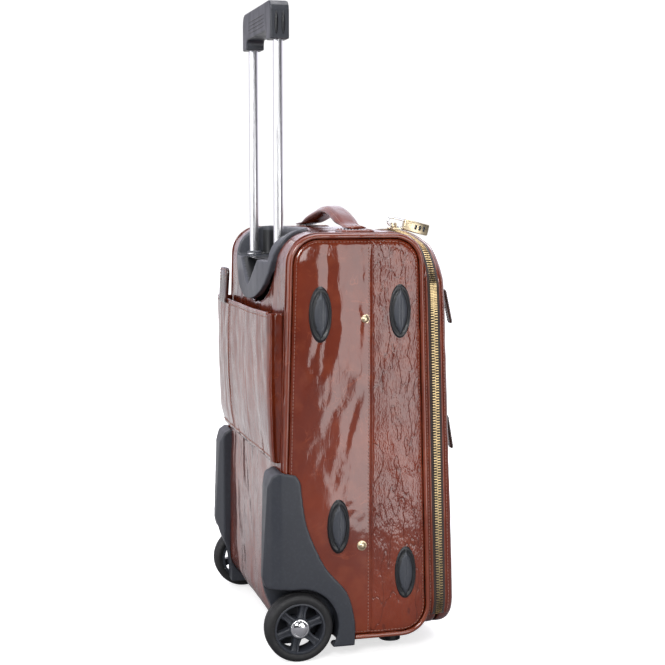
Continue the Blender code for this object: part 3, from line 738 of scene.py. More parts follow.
def body_rule(co, normal):
    """The body's leather: a full back, a crowned top and a sloping front edge."""
    flat = 1 - smoothstep(0.110, 0.160, abs(co.x))
    out = Vector((0, 0, 0))
    if normal.y < -0.5 and co.y < -0.085:
        share = math.sin(math.pi * min(max((co.z - 0.03) / 0.46, 0), 1))
        out.y -= 0.0045 * share * flat * (1 - smoothstep(0.38, 0.42, co.z) * 0.8)
        out.y -= 0.0010 * ripple((co.x, co.z, 0), 0.055, 2.0) * flat
    if normal.z > 0.5 and co.z > 0.490:
        out.z += top_crown(co.x, co.y) + 0.0005 * ripple(co, 0.030, 4.0) * top_span(co.y)
    skin = 0.00035 * ripple(co, 0.018, 9.0)
    return drooped(co + out + normal * skin)


body = softened_mesh("body_shell", 0.0030, 5)
add_piece("body_leather", moved(body, body_rule), BODY_LEATHER, "case", ["body_shell"])


def lid_wedge(z):
    """How far the lid's face stands off its mean depth: it is shallower at the top."""
    return 0.0003 - 0.0021 * z / FRONT_TOP


def lid_rule(co, normal):
    local = FRONT.inverted() @ co
    out = Vector((0, lid_wedge(local.z) * min(max(local.y / LID_DEPTH, 0.0), 1.0), 0))
    if local.y > LID_DEPTH - 0.004 and normal.y > 0.5:
        middle = (FRONT_TOP + FRONT_BASE) / 2
        across = max(0.0, 1 - (local.x / 0.165) ** 2)
        up = max(0.0, 1 - ((local.z - middle) / 0.235) ** 2)
        out.y += 0.0010 * across * up
    skin = 0.0005 * ripple(co, 0.030, 1.0) + 0.0003 * ripple(co, 0.012, 2.0)
    return drooped(co + out + normal * skin)


lid = softened_mesh("front_lid", 0.0022, 4)
add_piece("lid_leather", moved(lid, lid_rule), LID_LEATHER, "lid", ["front_lid"])


def on_front(x, z, y=0.0):
    """A place given from the middle of the front opening, y outwards."""
    return FRONT @ Vector((x, y, z))


def zip_path(inset, y, pitch):
    """The zip's line, from the bottom of one side over the top to the other."""
    loop = front_outline(inset, 20)
    turn = FRONT_R - inset
    low = [Vector((FRONT_X - FRONT_R + turn * math.cos(a), FRONT_BASE + FRONT_R - turn * math.sin(a)))
           for a in (0.6, 0.45, 0.3, 0.15, 0.0)]
    points = low + [p for p in loop if p.y > 0.0] + [Vector((-p.x, p.y)) for p in reversed(low)]
    points = even([p.to_3d() for p in points], pitch, False)
    return [drooped(on_front(p.x, p.y, y)) for p in points]


def outward_from_front(point):
    """Away from the middle of the front opening, square to its nearest edge."""
    local = FRONT.inverted() @ point
    core_x = max(-(FRONT_X - FRONT_R), min(FRONT_X - FRONT_R, local.x))
    core_z = max(FRONT_BASE + FRONT_R, min(FRONT_TOP - FRONT_R, local.z))
    away = Vector((local.x - core_x, 0, local.z - core_z))
    if abs(local.x) < FRONT_X - FRONT_R:
        away = Vector((1.805 * local.x, 0, 1))
    return (FRONT.to_3x3() @ away).normalized()


def ribbon(path_low, path_high, up, thick):
    """A flat band between two paths, thick metres deep."""
    rings = []
    for a, b in zip(path_low, path_high):
        lift = up(a) * thick
        rings.append([a, b, b + lift, a + lift])
    return loft(rings, True, True)


# Half width, two places along the tooth's length and height.
TOOTH = ((0.00062, -0.0020, 0.0016, 0.0012), (0.00045, 0.0012, 0.0026, 0.0009))


def zip_teeth(path, sign, first):
    """A row of teeth, one at every eighth point of path: each a shank with a narrower head."""
    work = bmesh.new()
    steps = list(frames_along(path, False, outward_from_front))
    for point, tangent, _, up in steps[first:-4:8]:
        for wide, near, far, tall in TOOTH:
            a, b, c, d, e, f, g, h = (
                work.verts.new(point + tangent * (t * shrink) - OUT_OF_FRONT * (sign * deep) + up * high)
                for t in (-wide, wide) for deep in (near, far)
                for high, shrink in ((-0.0002, 1.0), (tall, 0.72))
            )
            for quad in ((a, b, d, c), (e, g, h, f), (a, e, f, b), (c, d, h, g), (b, f, h, d), (a, c, g, e)):
                work.faces.new(quad)
    return outwards(work)


def zip_half(name, sign, offset):
    """Half of the main zip: its tape, one row of teeth, its hem and stitches."""
    body = "case" if name == "body" else "lid"
    low, high = sorted((sign * 0.0004, sign * 0.0080))
    tape = ribbon(zip_path(-0.0003, low, 0.004), zip_path(-0.0003, high, 0.004), outward_from_front, 0.0007)
    add_piece("zip_tape_" + name, tape, TAPE, body)
    teeth = zip_teeth(zip_path(-0.0012, sign * 0.0020, ZIP_PITCH / 8), sign, offset + 4)
    add_piece("zip_teeth_" + name, teeth, ZIP_BRASS, body, ["zip_chain_" + name])
    teeth.polygons.foreach_set("use_smooth", [False] * len(teeth.polygons))
    hem = swept(zip_path(-0.0004, sign * 0.0080, 0.003), circle(0.0011, 8), False, outward_from_front)
    add_piece("zip_hem_" + name, hem, TRIM_LEATHER, body)
    sewn = stitch_row(zip_path(-0.0006, sign * 0.0112, 0.004), outward_from_front)
    add_piece("zip_stitches_" + name, sewn, THREAD, body)


zip_half("body", -1, 0)
zip_half("lid", 1, 4)

# ---- front pockets

def face_at(z):
    """How far out of the front opening the pockets' faces lie."""
    return POCKET_FACE + lid_wedge(z)


def front_pocket(label, low, high):
    """A pocket's leather, its piping and stitches, and its zip along the top."""
    node = "front_pocket_" + label
    middle, half = (low + high) / 2, (high - low) / 2

    def rule(co, normal):
        local = FRONT.inverted() @ co
        push = lid_wedge(local.z)
        if local.y >= LID_DEPTH + 0.003:
            full = max(0.0, 1 - (local.x / 0.135) ** 4) * max(0.0, 1 - ((local.z - middle) / half) ** 4)
            push += (0.0022 + 0.0007 * ripple(local, 0.035, 6.0)) * full + 0.0003 * ripple(local, 0.012, 8.0)
        return co + OUT_OF_FRONT * push

    def piece(kind, mesh, material, replaces=()):
        add_piece(f"pocket_{kind}_{label}", mesh, material, "lid", replaces)

    piece("leather", moved(softened_mesh(node, 0.0020, 3), rule), LID_LEATHER, [node])
    loop = rectangle((-0.1362, low - 0.0012), (0.1362, high + 0.0012), 0.017)
    path = even([on_front(p.x, p.y, LID_DEPTH + 0.0012 + lid_wedge(p.y)) for p in loop], 0.003)
    piece("piping", swept(path, circle(0.0017, 10), True, OUT_OF_FRONT), TRIM_LEATHER)
    line = high - 0.0090

    def along_zip(half_length, up, above):
        return even([on_front(x, line + up, face_at(line) + above) for x in (-half_length, half_length)],
                    0.004, False)

    flat = [(-0.0052, -0.0006), (0.0052, -0.0006), (0.0052, 0.0022), (-0.0052, 0.0022)]
    piece("tape", swept(along_zip(0.118, 0.0, 0.0006), flat, False, OUT_OF_FRONT), TAPE)
    lips = [swept(along_zip(0.119, up, 0.0026), circle(0.0012, 8), False, OUT_OF_FRONT)
            for up in (-0.0046, 0.0046)]
    piece("lips", merged(lips), TRIM_LEATHER)
    tooth = [(-0.0008, -0.0004), (0.0008, -0.0004), (0.0006, 0.0006), (-0.0006, 0.0006)]
    teeth = []
    for k in range(86):
        spot = on_front(-0.115 + 0.0027 * k, line + (0.0006 if k % 2 else -0.0006), face_at(line) + 0.0030)
        upright = [spot + UP_FRONT * up for up in (-0.0016, 0.0, 0.0016)]
        teeth.append(swept(upright, tooth, False, OUT_OF_FRONT))
    piece("teeth", merged(teeth), ZIP_BRASS)
    sewn = rectangle((-0.1300, low + 0.0050), (0.1300, high - 0.0180), 0.012)
    sewn = [on_front(p.x, p.y, face_at(p.y) + 0.0010) for p in sewn]
    piece("stitches", stitch_row(sewn, OUT_OF_FRONT, closed=True), THREAD)


front_pocket("upper", 0.0360, 0.1780)
front_pocket("lower", -0.1900, 0.0250)


def pull_tab(label, z, reach):
    """A leather tab, doubled over a small ring and sewn round its edge, and the slider it hangs from."""
    place = on_front(0.1220, z - 0.0030, POCKET_FACE + 0.0051)
    turn = Matrix.Translation(place) @ Matrix.Rotation(math.radians(reach), 4, "X")
    outline = rectangle((-0.0060, -0.0430), (0.0060, -0.0010), 0.0032, 5)
    rings = []
    for inset, depth in ((0.0010, -0.0013), (0.0, -0.0007), (0.0, 0.0007), (0.0010, 0.0013)):
        shrink_x, shrink_z = 1 - inset / 0.0060, 1 - inset / 0.0215
        rings.append([turn @ Vector((p.x * shrink_x, depth, (p.y + 0.022) * shrink_z - 0.022))
                      for p in outline])
    name = "pull_tab_" + label
    add_piece("leather_" + name, loft(rings, True, True), DARK_LEATHER_AND_SHADE, name, [name])
    inner = rectangle((-0.0044, -0.0414), (0.0044, -0.0030), 0.0022, 4)
    rows = []
    for sign in (-1, 1):
        line = [turn @ Vector((p.x, sign * 0.0013, p.y)) for p in inner]
        rows.append(stitch_row(line, turn.to_3x3() @ Vector((0, sign, 0)), 0.0030, 0.0021, 0.00028, True))
    add_piece("stitches_" + name, merged(rows), THREAD, name)
    slider = "pocket_slider_" + label
    inwards = OUT_OF_FRONT * lid_wedge(z)
    mesh = moved(softened_mesh(slider, 0.00035, 2), lambda co, normal: co + inwards)
    add_piece("brass_" + slider, mesh, BRASS, "lid", [slider])


pull_tab("upper", 0.1690, 12)
pull_tab("lower", 0.0160, 9.6)

# ---- main zip sliders and padlock

for label in ("left", "right"):
    node = "zip_slider_" + label
    add_piece("brass_" + node, softened_mesh(node, 0.00032, 2), BRASS, "zip_lock", [node])


def padlock_body():
    """A rounded brass block, thinner than its number wheels are wide."""
    outline = rectangle((-0.0050, -0.0070), (0.0050, 0.0070), 0.0014, 4)
    ends = ((0.0, 0.84), (0.0002, 0.92), (0.0009, 1.0), (0.0321, 1.0), (0.0328, 0.92), (0.0330, 0.84))
    middle = Vector((0, 0))
    rings = [[LOCK @ Vector((p.x, y, p.y)) for p in scaled(outline, middle, share)] for y, share in ends]
    add_piece("brass_padlock_body", loft(rings, True, True), BRASS, "zip_lock", ["padlock_body"])


def padlock_dial(k, y):
    """A knurled number wheel."""
    rings, sides = [], 60
    for h in (-0.0014, -0.0011, 0.0011, 0.0014):
        ring = []
        for i in range(sides):
            a = 2 * math.pi * i / sides
            r = (0.0060 if abs(h) < 0.0012 else 0.0056) - (0.00028 if i % 3 == 0 else 0.0)
            ring.append(LOCK @ Vector((r * math.cos(a), y + h, r * math.sin(a))))
        rings.append(ring)
    node = f"padlock_dial_{k}"
    add_piece("knurled_" + node, loft(rings, True, True), BLACK_PLASTIC, f"dial_{k}", [node])


def padlock_shackle():
    """A round bar, bent over behind the body."""
    half, leg_end, bend_at = 0.0050, 0.0085, -0.0160
    bend = [math.pi * t / 16 for t in range(17)]
    bar = [(leg_end, half)] + [(bend_at - half * math.sin(a), half * math.cos(a)) for a in bend]
    bar = even([LOCK @ Vector((0, y, z)) for y, z in [*bar, (leg_end, -half)]], 0.0011, False)
    add_piece("steel_shackle", swept(bar, circle(0.0013, 14), False, Vector((1, 0, 0))), BRIGHT_STEEL,
              "shackle", ["padlock_shackle"])


padlock_body()
for k, y in enumerate((0.0155, 0.0210, 0.0265), 1):
    padlock_dial(k, y)
padlock_shackle()

# ---- carry handle

HANDLE_Y = 0.0025
HANDLE_LOW = TOP_Z + 0.0006 + 0.0020


def handle_line(x):
    """Height of the middle of the carry handle's strap."""
    reach = abs(x)
    rise = 0.0190 * (0.5 + 0.5 * math.cos(math.pi * min(reach / 0.107, 1.0)))
    return HANDLE_LOW + 0.0026 + rise


def slack(x):
    """The loose handle's left half lies a little further back."""
    return 0.0080 * smoothstep(0.015, 0.085, -x)


def handle_section(x):
    """Half width, half thickness, middle and upward direction of the handle's strap."""
    reach = abs(x)
    width = 0.0140 - 0.0022 * smoothstep(0.060, 0.085, reach)
    pad = 0.0038 * (1 - smoothstep(0.055, 0.085, reach)) + 0.0020
    slope = (handle_line(x + 0.001) - handle_line(x - 0.001)) / 0.002
    return width, pad, Vector((x, HANDLE_Y - slack(x), handle_line(x))), Vector((-slope, 0, 1)).normalized()


def carry_handle():
    """A padded strap, wider at its ends, with a groove and a row of stitches along each edge."""
    stations = [-0.115 + 0.230 * i / 84 for i in range(85)]
    rings = []
    for x in stations:
        width, pad, centre, up = handle_section(x)
        width += 0.0016 * smoothstep(0.088, 0.100, abs(x)) - 0.0035 * smoothstep(0.108, 0.115, abs(x))
        ring = []
        for k in range(32):
            a = 2 * math.pi * k / 32
            u = math.copysign(abs(math.cos(a)) ** 0.55, math.cos(a))
            v = math.copysign(abs(math.sin(a)) ** 0.8, math.sin(a))
            groove = 0.28 * math.exp(-((abs(u) - 0.74) / 0.06) ** 2) + 0.45 * smoothstep(0.74, 0.90, abs(u))
            high = pad * v * (1 - groove if v > 0 else 1 - 0.5 * groove)
            crease = 0.0004 * ripple((x, u * 0.01, v), 0.014, 3.0)
            ring.append(centre + Vector((0, width * u, 0)) + up * (high + crease))
        rings.append(ring)
    mesh = loft(rings, True, True)
    strap = add_piece("leather_carry_handle", mesh, BODY_LEATHER, "case", ["carry_handle"])
    # Painted shade: the faces on the strap's underside take the dark hide, standing in for the shade under
    # the handle.
    mesh.materials.append(DARK_LEATHER_AND_SHADE)
    for face in mesh.polygons:
        face.material_index = int(face.normal.z < -0.15)
    sewn_at = 0.77
    lift = 0.66 * (1 - sewn_at ** (2 / 0.55)) ** 0.4
    rows = []
    for sign in (-1, 1):
        path = []
        for width, pad, centre, up in map(handle_section, stations[3:-3]):
            path.append(centre + Vector((0, sign * width * sewn_at, 0)) + up * (pad * lift))
        rows.append(stitch_row(path, Vector((0, 0, 1))))
    add_piece("stitches_carry_handle", merged(rows), THREAD, "case")


def handle_anchor(label, side):
    """A sewn leather patch under each end of the handle."""
    middle = Vector((side * 0.105, HANDLE_Y))
    base = TOP_Z + 0.0003

    def patch(half_x, half_y, radius, steps):
        half = Vector((half_x, half_y))
        return rectangle(middle - half, middle + half, radius, steps)

    outline = patch(0.022, 0.020, 0.008, 6)
    steps = ((1.0, -0.0010), (1.0, 0.0012), (0.975, 0.0019), (0.90, 0.0022), (0.6, 0.0022), (0.3, 0.0022))
    rings = [[(p.x, p.y, base + high + top_crown(p.x, p.y)) for p in scaled(outline, middle, share)]
             for share, high in steps]
    node = "handle_anchor_" + label
    add_piece("leather_" + node, loft(rings, True, True), BODY_LEATHER, "case", [node])
    path = [Vector((p.x, p.y, base + 0.0020 + top_crown(p.x, p.y))) for p in patch(0.0195, 0.0175, 0.006, 5)]
    add_piece("stitches_" + node, stitch_row(path, Vector((0, 0, 1)), closed=True), THREAD, "case")


carry_handle()
for label, side in SIDES:
    handle_anchor(label, side)

# ---- back pocket and its strap

POCKET_HALF = 0.154
POCKET_TOP = 0.4070
POCKET_LOW = 0.2330
POCKET_EDGE_Y = -0.0964
POCKET_SEAM_X = -0.070
STRAP_FACE_Y = -0.1184


def pocket_share(z):
    """0 at the back pocket's foot, 1 at its rim."""
    return min(max((z - POCKET_LOW) / (POCKET_TOP - POCKET_LOW), 0.0), 1.0)


def pocket_face_y(x, z):
    """The outer face of the back pocket, filled out a little and loose along its top edge."""
    share = pocket_share(z)
    y = -0.1075 - 0.0072 * math.sin(math.pi * min(share * 0.62 + 0.06, 0.5)) ** 0.8
    full = max(0.0, 1 - (x / POCKET_HALF) ** 2)
    y -= 0.0030 * full * math.sin(math.pi * (0.10 + 0.80 * share))
    y -= 0.0034 * smoothstep(0.0, POCKET_HALF, -x) * smoothstep(0.0, 0.15, share)
    y -= 0.0012 * ripple((x, z * 0.6, 0.3), 0.075, 2.0) + 0.0005 * ripple((x, z, 0.9), 0.020, 4.0)
    return y


def on_pocket(x, z, above=0.0):
    """A place on the pocket's face, whose rim sags in the middle."""
    sag = -0.0022 * smoothstep(0.7, 1.0, pocket_share(z)) * max(0.0, 1 - (x / POCKET_HALF) ** 2)
    return Vector((x, pocket_face_y(x, z) - above, z + sag))


def pocket_side(sign, z):
    """The pleated side wall of the pocket, from the case's back out to the pocket's face."""
    pleat = -0.0065 + 0.0022 * ripple((0.2, 0.0, z), 0.018, 4.0)
    deep = pocket_face_y(sign * POCKET_HALF, z) - POCKET_EDGE_Y
    return [Vector((sign * (POCKET_HALF + fold), POCKET_EDGE_Y + deep * share, z))
            for fold, share in ((0.0, 0.0), (0.0010, 0.22), (pleat, 0.5), (0.0014, 0.80))]


def back_pocket():
    """The pocket's skin, its rim and seam, and their stitches."""
    columns, rows, wall = 104, 60, 0.0022
    skin = []
    for r in range(rows + 1):
        z = POCKET_LOW + (POCKET_TOP - POCKET_LOW) * r / rows
        across = [-POCKET_HALF + 2 * POCKET_HALF * c / columns for c in range(columns + 1)]
        face = [on_pocket(x, z, -0.0016 * smoothstep(0.147, POCKET_HALF, abs(x))) for x in across]
        skin.append([*pocket_side(-1, z), *face, *reversed(pocket_side(1, z))])
    floor = [Vector((p.x * 0.985, POCKET_EDGE_Y + (p.y - POCKET_EDGE_Y) * 0.6, POCKET_LOW - 0.0012))
             for p in skin[0]]
    base = [Vector((p.x * 0.97, -0.0970, POCKET_LOW - 0.0008)) for p in skin[0]]
    mesh = with_modifiers(
        loft([base, floor, *skin], False),
        ("SOLIDIFY", {"thickness": wall, "offset": -1.0}),
        ("SUBSURF", {"levels": 1, "render_levels": 1}),
    )
    add_piece("leather_back_pocket", mesh, BODY_LEATHER, "case", ["back_pocket"])
    back = Vector((0, -1, 0))
    steps = [-0.147 + 0.003 * k for k in range(99)]
    heights = [POCKET_LOW + 0.006 + 0.0021 * k for k in range(78)]
    rim = [on_pocket(x, POCKET_TOP - 0.0004, -0.0010) for x in steps]
    rim = swept(rim, circle(0.0019, 10, 0.9), False, back)
    seam = swept([on_pocket(POCKET_SEAM_X, z, -0.0002) for z in heights], circle(0.0008, 8), False, back)
    add_piece("pocket_seams", merged([rim, seam]), TRIM_LEATHER, "case")
    lines = [
        [(x, POCKET_TOP - 0.0045) for x in steps],
        [(POCKET_SEAM_X + 0.0028, z) for z in heights],
        [(x, POCKET_LOW + 0.0060) for x in steps],
    ]
    rows = [stitch_row([on_pocket(x, z, 0.0001) for x, z in line], back) for line in lines]
    add_piece("pocket_seam_stitches", merged(rows), THREAD, "case")


def pocket_strap():
    """A short upright closing strap, with a press stud at its foot."""
    outline = rectangle((-0.1250, 0.4010), (-0.0820, 0.4470), 0.007, 6)
    middle = Vector((-0.1035, 0.4240))
    layers = ((0.95, -0.1138), (1.0, -0.1146), (1.0, -0.1172), (0.95, -0.1182), (0.5, STRAP_FACE_Y))
    rings = []
    for share, depth in layers:
        ring = []
        for x, z in scaled(outline, middle, share):
            lean = -0.0030 * smoothstep(0.4170, 0.4040, z) + 0.0006 * ripple((x, z, 0), 0.02, 5.0)
            ring.append((x, depth + lean, z))
        rings.append(ring)
    add_piece("leather_pocket_strap", loft(rings, True, True), DARK_LEATHER_AND_SHADE, "case", ["pocket_strap"])
    inner = rectangle((-0.1225, 0.4040), (-0.0845, 0.4445), 0.005, 5)
    sewn = [Vector((p.x, STRAP_FACE_Y, p.y)) for p in inner]
    add_piece("stitches_pocket_strap", stitch_row(sewn, Vector((0, -1, 0)), closed=True), THREAD, "case")
    cap = [(0.0, -0.00154), (0.00165, -0.00133), (0.00231, -0.00084), (0.00253, 0.0), (0.00253, 0.00098),
           (0.0, 0.00098)]
    stud = turned(cap, (middle.x, STRAP_FACE_Y - 0.0003, 0.4062), "Y", 24)
    add_piece("stud_pocket_strap", stud, BRASS, "case")


back_pocket()
pocket_strap()

# ---- moulded parts

def softened_piece(name, node, voxel, rounds, material, body, rule=None):
    """A CAD node with its edges rounded off, and moved by rule where one is given."""
    mesh = softened_mesh(node, voxel, rounds)
    return add_piece(name, moved(mesh, rule) if rule else mesh, material, body, [node])


for label, _ in SIDES:
    node = "wheel_housing_" + label
    softened_piece("moulded_" + node, node, 0.0014, 3, BLACK_PLASTIC, "case")


def scoop_depth(x, z):
    """How far inside the surround's V-shaped recess a point lies, 0 outside it."""
    half = 0.052 * (z - 0.4290) / (0.4660 - 0.4290)
    return max(0.0, min(half - abs(x), 0.4655 - z, z - 0.4310)) if half > 0 else 0.0


def trolley_surround():
    """The surround follows the full back of the case, and its V is sunk deeper, open to the inside. Inside
    the V and on the cup's inner walls, the near-black plastic is painted shade.
    """

    def rule(co, normal):
        full = max(0.0, 1 - abs(co.x / 0.116) ** 2.4)
        if -0.0972 < co.y < -0.0880 and co.z < 0.4655:
            co.y += 0.0120 * smoothstep(0.0004, 0.0045, scoop_depth(co.x, co.z))
        co.y -= 0.0082 * full * smoothstep(-0.078, -0.092, co.y)
        co.z = max(co.z, 0.4300 + 0.88 * (co.z - 0.4300))
        return co

    node = "trolley_surround"
    piece = softened_piece("moulded_" + node, node, 0.0013, 3, SURROUND_PLASTIC, "case", rule)
    # Painted shade: faces inside the V and on the cup's inner walls take the near-black plastic, standing in
    # for the shade in these recesses.
    piece.data.materials.append(FOOT_PLASTIC_AND_RECESS_SHADE)
    for face in piece.data.polygons:
        x, y, z = face.center
        in_scoop = y > -0.1035 and z < 0.4650 and scoop_depth(x, z) > 0.0006
        in_cup = z > 0.4640 and y > -0.0915 and abs(x) < 0.0920
        face.material_index = int(in_scoop or (in_cup and face.normal.z < 0.9 and z < 0.496))


def eased(co, normal):
    """Keeps the button clear of its pocket's rounded walls and floor when it is pressed."""
    return Vector((co.x * 0.983, TUBE_Y + (co.y - TUBE_Y) * 0.92, max(co.z, GRIP_TOP - 0.0038)))


trolley_surround()
softened_piece("moulded_sleeve_bracket", "sleeve_foot_bracket", 0.0015, 2, GREY_PLASTIC, "case")
softened_piece("moulded_grip", "grip", 0.0010, 3, BLACK_PLASTIC, "upper_stage")
softened_piece("moulded_release_button", "release_button", 0.0006, 2, GREY_PLASTIC, "release_button", eased)


def rib(ends, section, outward, power, margin):
    """A straight rib that narrows towards both ends, the more so the higher the power."""

    def taper(share):
        return math.sin(math.pi * min(max(share, margin), 1 - margin)) ** power

    return swept(even(ends, 0.002, False), section, False, Vector(outward), taper)


def grip_ribs():
    """Raised soft ribs on the grip's ends and along its back and front."""
    heights = (GRIP_BASE + 0.006, GRIP_TOP - 0.014)
    ribs = []
    for side in (-1, 1):
        for y in (-0.0042, 0.0042):
            ends = [(side * 0.0826, TUBE_Y + y, z) for z in heights]
            ribs.append(rib(ends, circle(0.0021, 10), (side, 0, 0), 0.4, 0.02))
    for front in (-1, 1):
        for z in (0.7440, 0.7485, 0.7530, 0.7575):
            ends = [(x, TUBE_Y + front * 0.0114, z) for x in (-0.046, 0.046)]
            ribs.append(rib(ends, circle(0.0009, 8), (0, front, 0), 0.3, 0.01))
    add_piece("grip_ribs", merged(ribs), FOOT_PLASTIC_AND_RECESS_SHADE, "upper_stage")


grip_ribs()


def tube_collars():
    """Turned collars and scraper rings where the tubes enter the cup."""
    low = 0.4632
    profile = [(0.0061, 0.0), (0.0094, 0.0), (0.0094, 0.0022), (0.0087, 0.0026), (0.0087, 0.0034),
               (0.0092, 0.0038), (0.0092, 0.0056), (0.0084, 0.0063), (0.0061, 0.0065), (0.0061, 0.0)]
    rings = [turned(profile, (side * TUBE_X, TUBE_Y, low), "Z", 36) for _, side in SIDES]
    add_piece("tube_scrapers", merged(rings), SURROUND_PLASTIC, "middle_stage", slot="black_plastic")


tube_collars()


def set_look(material, node):
    """Gives a CAD node that is kept as it is its material."""
    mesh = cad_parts[node].data
    mesh.materials.clear()
    mesh.materials.append(material)


for label, _ in SIDES:
    for kind in ("outer_sleeve_", "middle_tube_", "upper_tube_", "axle_"):
        set_look(TUBE_METAL, kind + label)
    set_look(FOOT_PLASTIC_AND_RECESS_SHADE, "front_foot_" + label)

# ---- wheels


# Along the spoke's width as a share, and depth under its face.
SPOKE = ((-1.0, 0.0090), (-1.0, 0.0010), (-0.85, 0.0002), (-0.62, 0.0), (-0.34, 0.0002), (-0.20, 0.0018),
         (0.20, 0.0018), (0.34, 0.0002), (0.62, 0.0), (0.85, 0.0002), (1.0, 0.0010), (1.0, 0.0090))


def spoke(turn, out, side):
    """A double-ribbed spoke, narrowest halfway."""
    rings = []
    for t in range(9):
        share = t / 8
        r = 0.0108 + share * 0.0172
        wide = 0.0040 + 0.0012 * abs(2 * share - 1) ** 1.5
        face = out - side * (0.0018 + 0.0010 * math.sin(math.pi * share))
        rings.append([turn @ Vector((face - side * deep, wide * u, r)) for u, deep in SPOKE])
    return loft(rings, True, True)


def wheel(label, side):
    """A crowned tyre with two grooves, a rim of six spokes and a polished cap."""
    centre = Vector((side * WHEEL_AT.x, WHEEL_AT.y, WHEEL_AT.z))
    body = "wheel_" + label
    half = WHEEL_HALF
    crown = [(RIM_R + 0.0003, half - 0.0012), (0.0330, half - 0.0004), (0.0352, half),
             (0.0372, half - 0.0008), (0.0388, half - 0.0022), (0.0396, half - 0.0040), (0.0399, 0.0062),
             (0.0394, 0.0056), (0.0394, 0.0046), (0.0400, 0.0040), (0.0400, 0.0008), (0.0394, 0.0004)]
    tread = crown + [(r, -h) for r, h in reversed(crown)]
    tyre = turned([*tread, tread[0]], centre, "X", 72)
    add_piece("rubber_tyre_" + label, tyre, TYRE_RUBBER, body, ["tyre_" + label])
    out = side * (half - 0.0010)
    shell = [(0.0302, out), (0.0296, out + side * 0.0004), (0.0282, out + side * 0.0003),
             (0.0274, out - side * 0.0010), (0.0270, out - side * 0.0060), (0.0270, -out), (0.0302, -out),
             (0.0302, out)]
    hub = [(0.0043, out - side * 0.0012), (0.0118, out - side * 0.0012), (0.0126, out - side * 0.0022),
           (0.0122, out - side * 0.0100), (0.0110, -out - side * 0.0018), (0.0043, -out - side * 0.0018),
           (0.0043, out - side * 0.0012)]
    parts = [turned(shell, centre, "X", 72), turned(hub, centre, "X", 48)]
    for k in range(6):
        turn = Matrix.Translation(centre) @ Matrix.Rotation(math.radians(60 * k - 12), 4, "X")
        parts.append(spoke(turn, out, side))
    rim = add_piece("spoked_rim_" + label, merged(parts), BLACK_PLASTIC, body, ["rim_" + label])
    rim.data.set_sharp_from_angle(angle=math.radians(42))
    dome = [(0.0, 0.0042), (0.0030, 0.0040), (0.0058, 0.0034), (0.0078, 0.0025), (0.0086, 0.0018),
            (0.0090, 0.0019), (0.0104, 0.0017), (0.0113, 0.0008), (0.0115, -0.0010), (0.0, -0.0010)]
    at = (centre.x + side * (half - 0.0030), centre.y, centre.z)
    cap = turned([(r, side * h) for r, h in dome], at, "X", 48)
    add_piece("polished_hub_cap_" + label, cap, BRIGHT_STEEL, body, ["hub_cap_" + label])


for label, side in SIDES:
    wheel(label, side)

# ---- lining and hinge strip


def lined(name, rings, body, thickness):
    """A cloth lining: a lofted skin with some thickness, closed over its last ring."""
    work = bmesh.new()
    rows = [[work.verts.new(p) for p in ring] for ring in rings]
    for a, b in zip(rows, rows[1:]):
        joined(work, a, b)
    work.faces.new(rows[-1])
    mesh = with_modifiers(outwards(work), ("SOLIDIFY", {"thickness": thickness, "offset": 0.0}))
    add_piece(name, mesh, LINING, body)


def case_lining():
    """Sides, floor, top and back of the inside, in front of the handle's sleeves and between the wheels."""
    wheels_from, sleeves_over, sleeves_front = -0.085, 0.450, -0.0530
    rings = []
    for depth, shrink in ((-0.0030, 0.0052), (-0.020, 0.0056), (-0.060, 0.0056), (-0.100, 0.0056),
                          (-0.128, 0.0060), (-0.136, 0.0080), (-0.1405, 0.0120)):
        ring = []
        for p in front_outline(shrink, 10):
            co = on_front(p.x, p.y, depth)
            if depth < wheels_from:
                co.z = max(co.z, 0.030 + 0.066 * smoothstep(wheels_from, -0.100, depth))
            co.z = min(co.z, TOP_Z - 0.0056)
            if co.z > sleeves_over:
                co.y = max(co.y, sleeves_front)
            ring.append(drooped(co))
        rings.append(ring)
    lined("case_lining", rings, "case", 0.0008)


def lid_lining():
    """The inside of the lid's tray."""
    depths = ((0.0012, 0.0040), (0.0060, 0.0040), (0.0100, 0.0046), (0.0122, 0.0070), (0.0130, 0.0110),
              (0.0132, 0.0200), (0.0132, 0.0320))
    rings = [[drooped(on_front(p.x, p.y, depth)) for p in front_outline(inset, 10)]
             for depth, inset in depths]
    lined("lid_lining", rings, "lid", 0.0006)


case_lining()
lid_lining()


def hinge_strip():
    """The leather that joins the lid to the case along their bottom edges."""
    columns, rows = 60, 12
    across = [-0.122 + 0.244 * c / columns for c in range(columns + 1)]
    z = FRONT_BASE - 0.0003
    rings = []
    for r in range(rows + 1):
        y = -0.0090 + 0.0180 * r / rows
        under = [on_front(x, z - 0.0009, y) for x in reversed(across)]
        rings.append([on_front(x, z, y) for x in across] + under)
    strip = add_piece("hinge_strip", loft(rings, True, True), TRIM_LEATHER)
    start, end = (on_front(0, FRONT_BASE, y) for y in (-0.0045, 0.0045))
    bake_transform(strip)
    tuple(start)
    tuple(end)


hinge_strip()

# ---- floor, light and camera


